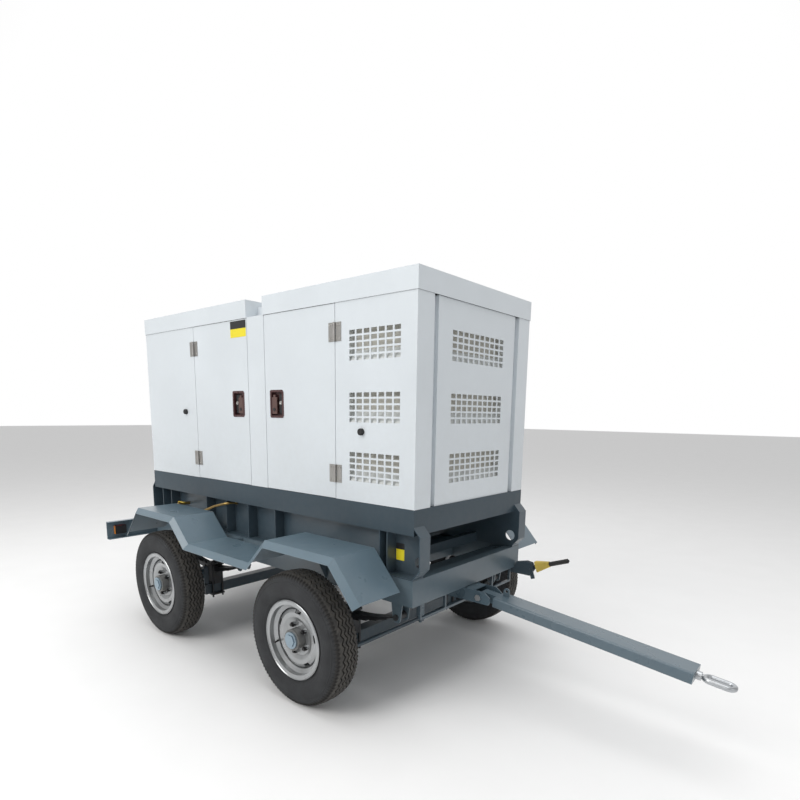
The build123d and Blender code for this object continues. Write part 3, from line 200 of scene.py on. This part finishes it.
def tyre_rubber():
    """Charcoal rubber: brownish dust on the tread, painted shade in the grooves and on the lower shoulders,
    rings and a bluish bloom on the sidewall.
    """
    mat, tree, shader, coords = material("tyre_rubber", 0.78)
    squash = tree.nodes.new("ShaderNodeMapping")
    squash.inputs["Scale"].default_value = (1, 0, 1)
    tree.links.new(coords, squash.inputs["Vector"])
    length = tree.nodes.new("ShaderNodeVectorMath")
    length.operation = "LENGTH"
    tree.links.new(squash.outputs["Vector"], length.inputs[0])
    radius = length.outputs["Value"]
    cloud = noise(tree, coords, 11.0, 6.0)
    wall = mixed(tree, between(tree, cloud, 0.3, 0.7), (0.014, 0.015, 0.017), (0.028, 0.030, 0.033))
    dusty = mixed(tree, between(tree, noise(tree, coords, 30.0, 7.0), 0.35, 0.7), (0.038, 0.036, 0.034),
                  (0.074, 0.068, 0.060))
    base = mixed(tree, between(tree, radius, 0.350, 0.3735), wall, dusty)
    # Painted shade: near-black colour in the tread's groove bottoms and on the shoulders below the crown,
    # where shade falls.
    groove = between(tree, radius, 0.3665, 0.3715, 1.0, 0.0)
    inner = between(tree, radius, 0.350, 0.362)
    base = mixed(tree, product(tree, groove, inner), base, (0.010, 0.009, 0.008))
    tree.links.new(base, shader.inputs["Base Color"])
    wave = tree.nodes.new("ShaderNodeMath")
    wave.operation = "SINE"
    tree.links.new(product(tree, radius, 2600.0), wave.inputs[0])
    fade = between(tree, radius, 0.342, 0.350, 1.0, 0.0)
    bumped(tree, shader, product(tree, wave.outputs["Value"], fade), 0.18, 0.0006)
    bumped(tree, shader, noise(tree, coords, 240.0, 3.0), 0.25, 0.0008)
    return mat


WHITE = paint("canopy_white", (0.655, 0.700, 0.735), 0.34, 0.03, dust_amount=0.09, dust_low=1.12,
              dust_high=1.9, coat=0.3)
# Painted shadow: dark grey for the underside of the roof's overhanging lip, where shade falls.
SEAM_SHADOW = paint("seam_shadow", (0.10, 0.11, 0.115), 0.7, 0.1, dust_amount=0.1, coat=0.0)
DUCT = paint("duct_white", (0.70, 0.72, 0.71), 0.45, 0.05, dust_amount=0.12, dust_low=1.12, dust_high=1.9)
BACKING = paint("duct_backing", (0.52, 0.505, 0.455), 0.8, 0.12, dust_amount=0.2, dust_low=1.12,
                dust_high=1.9, coat=0.0)
BAND = paint("band_slate", (0.034, 0.056, 0.074), 0.36, 0.08, dust_amount=0.05, dust_low=0.8,
             dust_high=1.2, coat=0.08, specular=0.35)
LABEL_BLACK = paint("label_black", (0.014, 0.014, 0.015), 0.35, 0.1, dust_amount=0.0, peel=0.01)
SLATE = paint("slate", (0.044, 0.070, 0.091), 0.34, 0.10, dust_amount=0.07, dust_low=0.2, dust_high=1.2,
              coat=0.25, wear=(0.075, 0.095, 0.110))
# Painted light: a lighter copy of the slate paint; its extra lightness stands in for light on the chassis
# frame's beams.
LIT_CHASSIS = paint("chassis_slate_lit", (0.072, 0.106, 0.130), 0.34, 0.08, dust_amount=0.07, dust_low=0.2,
                dust_high=1.0, coat=0.25, wear=(0.100, 0.130, 0.150))
FENDER = paint("fender_slate", (0.110, 0.165, 0.205), 0.30, 0.05, dust_amount=0.05, coat=0.4, dust_low=0.6,
               dust_high=1.0)
TOWBAR = paint("towbar_slate", (0.078, 0.122, 0.154), 0.28, 0.05, dust_amount=0.05, coat=0.35, dust_low=0.3,
               dust_high=0.9)
SILVER = paint("wheel_silver", (0.370, 0.385, 0.395), 0.30, 0.10, dust=(0.22, 0.19, 0.16), dust_amount=0.30,
               dust_low=0.1, dust_high=0.7, coat=0.35)
SILVER.node_tree.nodes["Principled BSDF"].inputs["Metallic"].default_value = 0.75
GREY_HUB = paint("hub_grey", (0.105, 0.110, 0.112), 0.5, 0.12, dust_amount=0.35, dust_low=0.2, dust_high=0.6)
ENGINE = paint("engine_blue_grey", (0.055, 0.085, 0.110), 0.45, 0.15, dust_amount=0.2, coat=0.0)
CABINET = paint("cabinet_grey", (0.52, 0.53, 0.52), 0.45, 0.04, dust_amount=0.08)
YELLOW = paint("yellow_paint", (0.62, 0.44, 0.045), 0.45, 0.10, dust_amount=0.25)
LABEL_YELLOW = paint("label_yellow", (0.83, 0.70, 0.02), 0.35, 0.03, dust_amount=0.05, peel=0.01)
BLACK_PAINT = paint("black_paint", (0.018, 0.019, 0.021), 0.45, 0.15, dust_amount=0.2)
SPRING = metal("spring_steel", (0.085, 0.088, 0.092), 0.5, stain=(0.10, 0.06, 0.04), grain=(14, 1, 1))
STEEL = metal("bare_steel", (0.46, 0.47, 0.48), 0.35)
EYE_STEEL = metal("eye_steel", (0.52, 0.54, 0.56), 0.30, stain=(0.26, 0.24, 0.22), grain=(1, 8, 1))
STAINLESS = metal("stainless", (0.47, 0.46, 0.44), 0.34, stain_amount=0.25)
ZINC = metal("zinc", (0.34, 0.43, 0.50), 0.35, stain=(0.20, 0.24, 0.27), grain=(3, 3, 3), scale=40.0)
NUT = metal("nut_black", (0.05, 0.05, 0.052), 0.42, stain_amount=0.2)
BRASS = metal("brass", (0.50, 0.34, 0.12), 0.38, stain=(0.16, 0.10, 0.05), grain=(6, 6, 6))
HOT_STEEL = metal("heat_steel", (0.30, 0.27, 0.24), 0.5, stain=(0.20, 0.10, 0.05), grain=(3, 3, 3))
RUBBER = plastic("black_rubber", (0.022, 0.022, 0.023), 0.75)
BLACK = plastic("black_plastic", (0.018, 0.018, 0.020), 0.35)
PADDLE = plastic("latch_paddle", (0.105, 0.058, 0.050), 0.30, relief=0.06)
MAROON = plastic("latch_maroon", (0.072, 0.030, 0.030), 0.30, relief=0.06)
GRIP = plastic("grip", (0.028, 0.027, 0.026), 0.62, texture=180.0, relief=0.3)
COVER = plastic("brake_cover", (0.62, 0.46, 0.09), 0.5, vary=0.22)
RED = plastic("red_lens", (0.42, 0.018, 0.014), 0.18, texture=120.0)
AMBER = plastic("amber_lens", (0.62, 0.20, 0.02), 0.18, texture=120.0)
LENS_WHITE = plastic("white_lens", (0.66, 0.66, 0.62), 0.15, texture=120.0)
STOP_RED = plastic("stop_red", (0.50, 0.015, 0.012), 0.28)
TYRE = tyre_rubber()


def finish(node, main, rules=()):
    """Give a CAD node its materials: the main one, and others where a rule holds for a whole face."""
    mesh = nodes[node].data
    mesh.materials.clear()
    mesh.materials.append(main)
    for mat, _ in rules:
        mesh.materials.append(mat)
    for face in mesh.polygons:
        face.material_index = 0
        points = [(mesh.vertices[i].co * 0.98 + face.center * 0.02) for i in face.vertices]
        for index, (_, rule) in enumerate(rules, 1):
            if all(rule(point) for point in points):
                face.material_index = index


# The chassis frame gets the lightened slate, painted light on its beams.
finish("chassis_frame", LIT_CHASSIS)
for name in ("tongue_guide_frame", "axle_beams", "knuckle_right", "knuckle_left", "tie_rod",
             "handbrake_bracket"):
    finish(name, SLATE)
for name in ("fender_right", "fender_left", "light_bar"):
    finish(name, FENDER)
finish("skid_deck", BAND)
ROOF_DEPTH = 0.113
eave_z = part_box("roof_front")[1].z - ROOF_DEPTH
# The roof's faces level with the eave, under its lip, are painted dark as a shadow line.
for name in ("roof_front", "roof_rear"):
    finish(name, WHITE, [(SEAM_SHADOW, lambda c: abs(c.z - eave_z) < 0.0005)])
for name in ("side_panels_right", "side_panels_left", "end_grille_panels"):
    finish(name, WHITE)
for name in ("leaf_springs", "axle_clamps"):
    finish(name, SPRING)
for name, mat in (("steering_pins", STEEL), ("oil_drain_pipe", BRASS), ("door_hinge_halves", STAINLESS),
                  ("door_buffers", RUBBER), ("fuel_tank", BLACK_PAINT), ("engine_block", ENGINE),
                  ("alternator_housing", ENGINE), ("radiator", BLACK_PAINT), ("silencer", HOT_STEEL),
                  ("air_cleaner", BLACK_PAINT), ("fan_belt", RUBBER), ("crankshaft_and_rotor", STEEL),
                  ("cooling_fan", BLACK), ("tow_eye", EYE_STEEL), ("handbrake_button", BLACK),
                  ("drain_valve_handle", YELLOW), ("emergency_stop", STOP_RED), ("breaker_handle", BLACK),
                  ("fuel_cap", BLACK)):
    finish(name, mat)


WEB_FACE = 0.491            # outer face of the skid's webs
valve = middle("drain_valve_handle")
valve_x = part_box("drain_valve_handle")[0].x + 0.012


def on_drain_valve(c):
    """Whether a point of the skid belongs to the drain valve's body."""
    near = abs(c.x - valve_x) < 0.014 and (c - valve).length < 0.14
    return near and 0.866 < c.z < 0.91 and c.y < -WEB_FACE - 0.0005


finish("skid_frame", SLATE, [(BRASS, on_drain_valve)])
finish("steering_tongue", TOWBAR, [(STEEL, lambda c: abs(c.y) > 0.0725)])
finish("drawbar", TOWBAR)
lens_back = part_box("tail_lamps")[0].x + 0.0125
finish("tail_lamps", RED, [(BLACK, lambda c: c.x > lens_back), (AMBER, lambda c: abs(c.y) > 0.880),
                           (LENS_WHITE, lambda c: abs(c.y) < 0.820)])
battery_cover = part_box("battery")[1].z - 0.018
finish("battery", BLACK, [(STEEL, lambda c: c.z > battery_cover)])
cabinet_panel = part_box("control_cabinet")[0].y + 0.0139
finish("control_cabinet", CABINET, [(BLACK, lambda c: c.y < cabinet_panel)])

HUB_RADIUS, CAP_RADIUS, NUTS_RADIUS, BACK_RADIUS = 0.0605, 0.0475, 0.0965, 0.135
DISC_FACE, CAP_BASE, BACK_FACE = 0.0282, 0.0755, 0.006
PLATE_HALF_WIDTH, PLATE_HALF_HEIGHT, DISH_HALF_HEIGHT, DISH_DEPTH = 0.125, 0.088, 0.0745, 0.024
KEY_HEIGHT = 1.7045         # the latch paddles are black above this

for axle, side, sign in CORNERS:
    centre = middle(f"tyre_{axle}_{side}")
    latch = middle(f"latch_handle_{axle}_{side}")

    def radial(c):
        """Distance of a point from the wheel's axis."""
        return hypot(c.x - centre.x, c.z - centre.z)

    def outward(c):
        """How far a point lies outboard of the wheel's middle."""
        return (c.y - centre.y) * sign

    def on_latch_plate(c):
        """Whether a point lies on the latch's raised rim or in its dish."""
        up = abs(c.z - LATCH_Z)
        inside = up < PLATE_HALF_HEIGHT and abs(c.x - latch.x) < PLATE_HALF_WIDTH
        return inside and abs(c.y) > skin - DISH_DEPTH and (abs(c.y) > skin + 0.0005 or up < DISH_HALF_HEIGHT)

    finish(f"wheel_{axle}_{side}", SILVER, [
        (GREY_HUB, lambda c: radial(c) < HUB_RADIUS and outward(c) > 0.0),
        (ZINC, lambda c: radial(c) < CAP_RADIUS and outward(c) > CAP_BASE),
        (NUT, lambda c: HUB_RADIUS < radial(c) < NUTS_RADIUS and outward(c) > DISC_FACE),
        (BLACK_PAINT, lambda c: outward(c) < BACK_FACE and radial(c) < BACK_RADIUS)])
    finish(f"door_{axle}_{side}", WHITE, [
        (MAROON, on_latch_plate),
        (STAINLESS, lambda c: abs(c.y) > skin + 0.0001 and abs(c.z - LATCH_Z) > 0.2)])
    finish(f"latch_handle_{axle}_{side}", PADDLE, [
        (BLACK, lambda c: abs(c.y) > skin + 0.0022 or c.z > KEY_HEIGHT)])

pivot = next(j for j in frame["joints"] if j["name"] == "handbrake_pull")["pos_m"]
COVER_START, GRIP_START = 0.06, 0.1505      # distances from the brake's pivot


def along_lever(c):
    """Distance of a point from the brake's pivot."""
    return hypot(c.x - pivot[0], c.z - pivot[2])


finish("handbrake_lever", SLATE, [(COVER, lambda c: along_lever(c) > COVER_START and c.z > pivot[2] - 0.02),
                                  (GRIP, lambda c: along_lever(c) > GRIP_START and c.z > pivot[2])])


# ---- pieces ---------------------------------------------------------------------------------------
def add(name, mesh, mats, body, smooth=True):
    """Link a mesh as a piece that rides on a body."""
    obj = bpy.data.objects.new(name, mesh)
    bpy.context.scene.collection.objects.link(obj)
    for mat in mats:
        mesh.materials.append(mat)
    for face in mesh.polygons:
        face.use_smooth = smooth
    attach(obj, body)

def to_mesh(bm, name):
    """Finish a bmesh as a mesh with outward normals."""
    bmesh.ops.recalc_face_normals(bm, faces=bm.faces)
    mesh = bpy.data.meshes.new(name)
    bm.to_mesh(mesh)
    bm.free()
    return mesh


def bridged(bm, rings):
    """Faces between closed rings of vertices, one after the other."""
    faces = []
    for low, high in zip(rings, rings[1:]):
        for i in range(len(low)):
            j = (i + 1) % len(low)
            faces.append(bm.faces.new((low[i], low[j], high[j], high[i])))
    return faces


def capped(bm, rings):
    """Closed body on rings of vertices."""
    bridged(bm, rings)
    bm.faces.new(rings[0][::-1])
    bm.faces.new(rings[-1])


def tyre_mesh():
    """Tyre with zigzag grooves, slotted shoulders and rings on its sidewalls, about the Y axis."""
    waves = 50
    steps = 8
    around = waves * steps
    wave_height, slot_depth, groove_depth = 0.0078, 0.0085, 0.0100
    crown_radius, crown_drop, crown_edge = 0.3774, 0.0044, 0.052
    walls = [(0.2036, 0.040), (0.2036, 0.0692), (0.2275, 0.0692), (0.2350, 0.0745), (0.2420, 0.0790),
             (0.2450, 0.0815), (0.2490, 0.0822), (0.2600, 0.0868), (0.2750, 0.0905), (0.2900, 0.0920),
             (0.3050, 0.0915), (0.3180, 0.0895), (0.3270, 0.0872), (0.3290, 0.0884), (0.3320, 0.0880),
             (0.3340, 0.0858), (0.3430, 0.0832)]
    shoulder = [(0.3500, 0.0808), (0.3560, 0.0785), (0.3620, 0.0752), (0.3668, 0.0715), (0.3700, 0.0672),
                (0.3716, 0.0620), (0.3725, 0.0570), (0.3732, 0.0520)]
    slot_shares = (0.4, 1.0, 1.0, 1.0, 1.0, 0.4, 0.0, 0.0)
    grooves = (-0.0375, -0.0125, 0.0125, 0.0375)
    tread = []
    for groove in grooves:
        for offset in (-0.0070, -0.0048, -0.0034, 0.0034, 0.0048, 0.0070):
            tread.append((groove + offset, abs(offset) < 0.0040))
        if groove < grooves[-1]:
            tread.append((groove + 0.0125, False))
    bm = bmesh.new()
    rings = []
    for k in range(around):
        angle = 2 * pi * k / around
        phase = (k % steps) / steps
        zigzag = wave_height * (abs(phase * 4 - 2) - 1)
        slot = slot_depth if k % 4 in (0, 1) else 0.0
        side = walls + [(r - slot * share, y) for (r, y), share in zip(shoulder, slot_shares)]
        points = [(r, -y) for r, y in side]
        for y, deep in tread:
            crown = crown_radius - crown_drop * (y / crown_edge) ** 2
            points.append((crown - groove_depth * deep, y + zigzag))
        points += reversed(side)
        ring = [bm.verts.new((r * cos(angle), y, r * sin(angle))) for r, y in points]
        rings.append(ring)
    for k in range(around):
        a, b = rings[k], rings[(k + 1) % around]
        for i in range(len(a) - 1):
            bm.faces.new((a[i], a[i + 1], b[i + 1], b[i]))
    return to_mesh(bm, "tyre_mesh")


TYRE_MESH = tyre_mesh()
TYRE_MESH.materials.append(TYRE)
for index, (axle, side, _) in enumerate(CORNERS):
    node = f"tyre_{axle}_{side}"
    piece = bpy.data.objects.new(f"{node}_tread", TYRE_MESH)
    bpy.context.scene.collection.objects.link(piece)
    piece.location = middle(node)
    piece.rotation_euler = (0, radians(90 * index), 0)
    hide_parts(node)
    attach(piece, node.replace("tyre", "wheel_assembly"))


def turned(bm, matrix, sides, rows):
    """Rings of vertices about local Z, one for each radius and height."""
    turns = [2 * pi * i / sides for i in range(sides)]
    return [[bm.verts.new(matrix @ Vector((r * cos(a), r * sin(a), z))) for a in turns] for r, z in rows]


def prism(bm, matrix, sides, radius, height, bevel):
    """Low round or hexagonal head with a bevelled rim, along local Z."""
    rows = [(radius, 0), (radius, height - bevel), (radius - bevel, height), (radius * 0.42, height),
            (radius * 0.34, height - bevel * 1.5)]
    capped(bm, turned(bm, matrix, sides, rows))


def facing(point, normal):
    """Placement at a point with local Z along a normal."""
    return Matrix.Translation(point) @ Vector(normal).to_track_quat("Z", "Y").to_matrix().to_4x4()


def rounded_plate(name, centre, across, up, width, height, thick, radius, mats, body, stripe=0.0):
    """Thin plate with rounded corners, and an inset band in the second material at its top."""
    bm = bmesh.new()
    corners = []
    for sx, sy, start in ((1, 1, 0), (-1, 1, 90), (-1, -1, 180), (1, -1, 270)):
        for k in range(7):
            a = radians(start + 15 * k)
            corners.append((sx * (width / 2 - radius) + radius * cos(a),
                            sy * (height / 2 - radius) + radius * sin(a)))
    centre, across, up = Vector(centre), Vector(across), Vector(up)
    normal = across.cross(up)
    edge = thick * 0.35
    rings = []
    for inset, level in ((0.0, 0.0), (0.0, thick - edge), (edge, thick)):
        scale_x = 1 - 2 * inset / width
        scale_y = 1 - 2 * inset / height
        rings.append([bm.verts.new(centre + across * x * scale_x + up * y * scale_y + normal * level)
                      for x, y in corners])
    capped(bm, rings)
    if stripe:
        cut = centre + up * (height / 2 - stripe)
        bmesh.ops.bisect_plane(bm, geom=bm.verts[:] + bm.edges[:] + bm.faces[:], plane_co=cut, plane_no=up)
        for face in bm.faces:
            if (face.calc_center_median() - cut).dot(up) > 0:
                face.material_index = 1
    add(name, to_mesh(bm, name), mats, body, smooth=False)


HINGE_HEIGHTS = (2.052, 1.268)
LEAF_THICK = 0.0029
SCREW_PITCH_X, SCREW_PITCH_Z = 0.019, 0.072


def hinge_screws(x, sign, name, body):
    """Round-headed screws on the leaves of a door's two hinges."""
    bm = bmesh.new()
    for z in HINGE_HEIGHTS:
        for dz in (-SCREW_PITCH_Z / 2, SCREW_PITCH_Z / 2):
            for dx in (0, SCREW_PITCH_X):
                point = (x + dx, sign * (skin + LEAF_THICK), z + dz)
                prism(bm, facing(point, (0, sign, 0)), 16, 0.0052, 0.0024, 0.0009)
    add(name, to_mesh(bm, name), [STAINLESS], body)


swings = {j["name"]: j["pos_m"] for j in frame["joints"] if j["name"].startswith("door_swing")}
for axle, side, sign in CORNERS:
    direction = 1 if axle == "front" else -1
    door = f"door_{axle}_{side}"
    hinge_x = swings[f"door_swing_{axle}_{side}"][0]
    front_leaf, rear_leaf = hinge_x + 0.020, hinge_x - 0.039
    fixed_x, moving_x = (front_leaf, rear_leaf) if direction > 0 else (rear_leaf, front_leaf)
    lock_x = middle(f"latch_handle_{axle}_{side}").x + direction * 0.051
    rounded_plate(f"lock_plate_{axle}_{side}", (lock_x, sign * (skin - 0.0198), LATCH_Z), (-sign, 0, 0),
                  (0, 0, 1), 0.040, 0.126, 0.010, 0.005, [BLACK], door)
    ring = bmesh.new()
    ring_place = facing((lock_x, sign * (skin - 0.0100), LATCH_Z + 0.006), (0, sign, 0))
    prism(ring, ring_place, 28, 0.0125, 0.006, 0.002)
    add(f"lock_ring_{axle}_{side}", to_mesh(ring, "lock_ring"), [STAINLESS], door)
    hinge_screws(fixed_x, sign, f"hinge_screws_{axle}_{side}", "chassis")
    hinge_screws(moving_x, sign, f"door_hinge_screws_{axle}_{side}", door)

SKID_LABEL_X, SKID_LABEL_Z = 0.560, 0.862
DOOR_LABEL_X, DOOR_LABEL_Z = -0.792, 2.146
LABEL_PAINTS = [LABEL_YELLOW, LABEL_BLACK]
for side, sign in SIDES:
    rounded_plate(f"skid_label_{side}", (SKID_LABEL_X, sign * WEB_FACE, SKID_LABEL_Z), (-sign, 0, 0),
                  (0, 0, 1), 0.058, 0.096, 0.0012, 0.004, LABEL_PAINTS, "chassis", 0.034)
    rounded_plate(f"door_label_{side}", (DOOR_LABEL_X, sign * skin, DOOR_LABEL_Z), (-sign, 0, 0),
                  (0, 0, 1), 0.175, 0.104, 0.0010, 0.004, LABEL_PAINTS, f"door_rear_{side}",
                  0.050)


def grille_duct(name, x0, x1, z0, z1, place):
    """Folded duct behind a grille, with a sloping sill. place turns (along, out, up) into a point."""
    mouth, back, sill, sheet = -0.0045, -0.046, 0.062, 0.003
    inner = [(mouth, z0), (back, z0 + sill), (back, z1), (mouth, z1)]
    outer = [(mouth, z1 + sheet), (back - sheet, z1 + sheet), (back - sheet, z0 + sill - 0.002),
             (mouth, z0 - 0.004)]
    profile = inner + outer
    back_face = 1
    bm = bmesh.new()
    columns = 12
    rings = [[bm.verts.new(place(x0 + (x1 - x0) * i / columns, out, up)) for out, up in profile]
             for i in range(columns + 1)]
    for count, face in enumerate(bridged(bm, rings)):
        face.material_index = 1 if count % len(profile) == back_face else 0
    for ring in (rings[0], rings[-1]):
        bm.faces.new(ring)
    for x, away in ((x0, -0.002), (x1, 0.002)):
        outline = (inner[0], outer[2], outer[1], inner[3])
        cheek = [[bm.verts.new(place(x + shift, out, up)) for out, up in outline] for shift in (0, away)]
        bridged(bm, cheek)
        bm.faces.new(cheek[0])
        bm.faces.new(cheek[1][::-1])
    add(name, to_mesh(bm, name), [DUCT, BACKING], "chassis", smooth=False)


GRILLE_HEIGHTS = (1.317, 1.642, 1.973)
GRILLE_DOWN, GRILLE_UP = 0.085, 0.090
END_GRILLE_HALF = 0.274
side_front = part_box("side_panels_right")[1].x
end_low, end_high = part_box("end_grille_panels")
for level, height in enumerate(GRILLE_HEIGHTS):
    z0, z1 = height - GRILLE_DOWN, height + GRILLE_UP
    for side, sign in SIDES:
        grille_duct(f"grille_duct_{side}_{level}", side_front - 0.484, side_front - 0.094, z0, z1,
                    lambda a, out, up: (a, sign * (skin + out), up))
    grille_duct(f"end_duct_front_{level}", -END_GRILLE_HALF, END_GRILLE_HALF, z0, z1,
                lambda a, out, up: (end_high.x + out, a, up))
    grille_duct(f"end_duct_rear_{level}", -END_GRILLE_HALF, END_GRILLE_HALF, z0, z1,
                lambda a, out, up: (end_low.x - out, a, up))


def valve_stem(axle, side, sign):
    """Tyre valve: a black rubber stem that leans out of the rim's well."""
    centre = middle(f"tyre_{axle}_{side}")
    well_radius = 0.176
    angle = radians(200)
    start = centre + Vector((well_radius * cos(angle), sign * 0.046, well_radius * sin(angle)))
    lean = Vector((-cos(angle) * 0.55, sign * 0.8, -sin(angle) * 0.55)).normalized()
    rows = [(0.0062, -0.004), (0.0062, 0.006), (0.0045, 0.012), (0.0040, 0.030), (0.0048, 0.031),
            (0.0048, 0.041), (0.0035, 0.043)]
    bm = bmesh.new()
    capped(bm, turned(bm, facing(start, lean), 14, rows))
    name = f"valve_stem_{axle}_{side}"
    add(name, to_mesh(bm, name), [RUBBER], f"wheel_assembly_{axle}_{side}")


for axle, side, sign in CORNERS:
    valve_stem(axle, side, sign)


# ---- stage ----------------------------------------------------------------------------------------
def floor():
    """Pale seamless floor."""
    bm = bmesh.new()
    bmesh.ops.create_grid(bm, x_segments=2, y_segments=2, size=60)
    mesh = to_mesh(bm, "floor")
    mat, tree, shader, coords = material("floor_pale", 0.85)
    base = mixed(tree, noise(tree, coords, 3.0, 4.0), (0.86, 0.86, 0.86), (0.90, 0.90, 0.90))
    tree.links.new(base, shader.inputs["Base Color"])
    mesh.materials.append(mat)
    obj = bpy.data.objects.new("floor", mesh)
    bpy.context.scene.collection.objects.link(obj)


floor()


def area_light(name, where, target, size, power, colour=(1, 1, 1)):
    """Soft square light aimed at a point."""
    light = bpy.data.lights.new(name, "AREA")
    light.shape = "SQUARE"
    light.size = size
    light.energy = power
    light.color = colour
    obj = bpy.data.objects.new(name, light)
    obj.location = where
    obj.rotation_euler = (Vector(target) - Vector(where)).to_track_quat("-Z", "Y").to_euler()
    bpy.context.scene.collection.objects.link(obj)


area_light("key", (-1.5, -7.0, 6.0), (-0.4, 0, 1.2), 5.0, 330, (1.0, 0.99, 0.97))
area_light("top", (0.0, 0.0, 7.5), (0, 0, 1.0), 6.0, 240)
area_light("front_fill", (7.5, -1.5, 3.0), (0.5, 0, 1.2), 4.0, 40, (0.96, 0.98, 1.0))
world = bpy.data.worlds.new("world")
world.use_nodes = True
sky = world.node_tree
direction = sky.nodes.new("ShaderNodeTexCoord").outputs["Generated"]
toward = sky.nodes.new("ShaderNodeVectorMath")
toward.operation = "DOT_PRODUCT"
toward.inputs[1].default_value = (-0.64, 0.76, 0.10)
sky.links.new(direction, toward.inputs[0])
glow = between(sky, toward.outputs["Value"], 0.15, 0.80, 0.50, 1.0)
sky.links.new(glow, sky.nodes["Background"].inputs["Strength"])
sky.nodes["Background"].inputs["Color"].default_value = (1.0, 1.0, 1.0, 1.0)
bpy.context.scene.world = world
bpy.context.scene.view_settings.view_transform = "Standard"

# ---- camera ---------------------------------------------------------------------------------------
yaw, pitch, roll = radians(130.10), radians(-9.763), radians(0.776)
look = Vector((cos(pitch) * cos(yaw), cos(pitch) * sin(yaw), sin(pitch)))
right = look.cross(Vector((0, 0, 1))).normalized()
up = right.cross(look)
right, up = right * cos(roll) + up * sin(roll), up * cos(roll) - right * sin(roll)
camera_data = bpy.data.cameras.new("camera")
camera_data.lens = 24.79
camera_data.sensor_width = 36
camera_data.shift_x = -0.0004
camera_data.shift_y = 0.136
camera = bpy.data.objects.new("camera", camera_data)
bpy.context.scene.collection.objects.link(camera)
rotation = Matrix((right, up, -look)).transposed().to_4x4()
camera.matrix_world = Matrix.Translation((2.4595, -2.752, 1.610)) @ rotation
bpy.context.scene.camera = camera
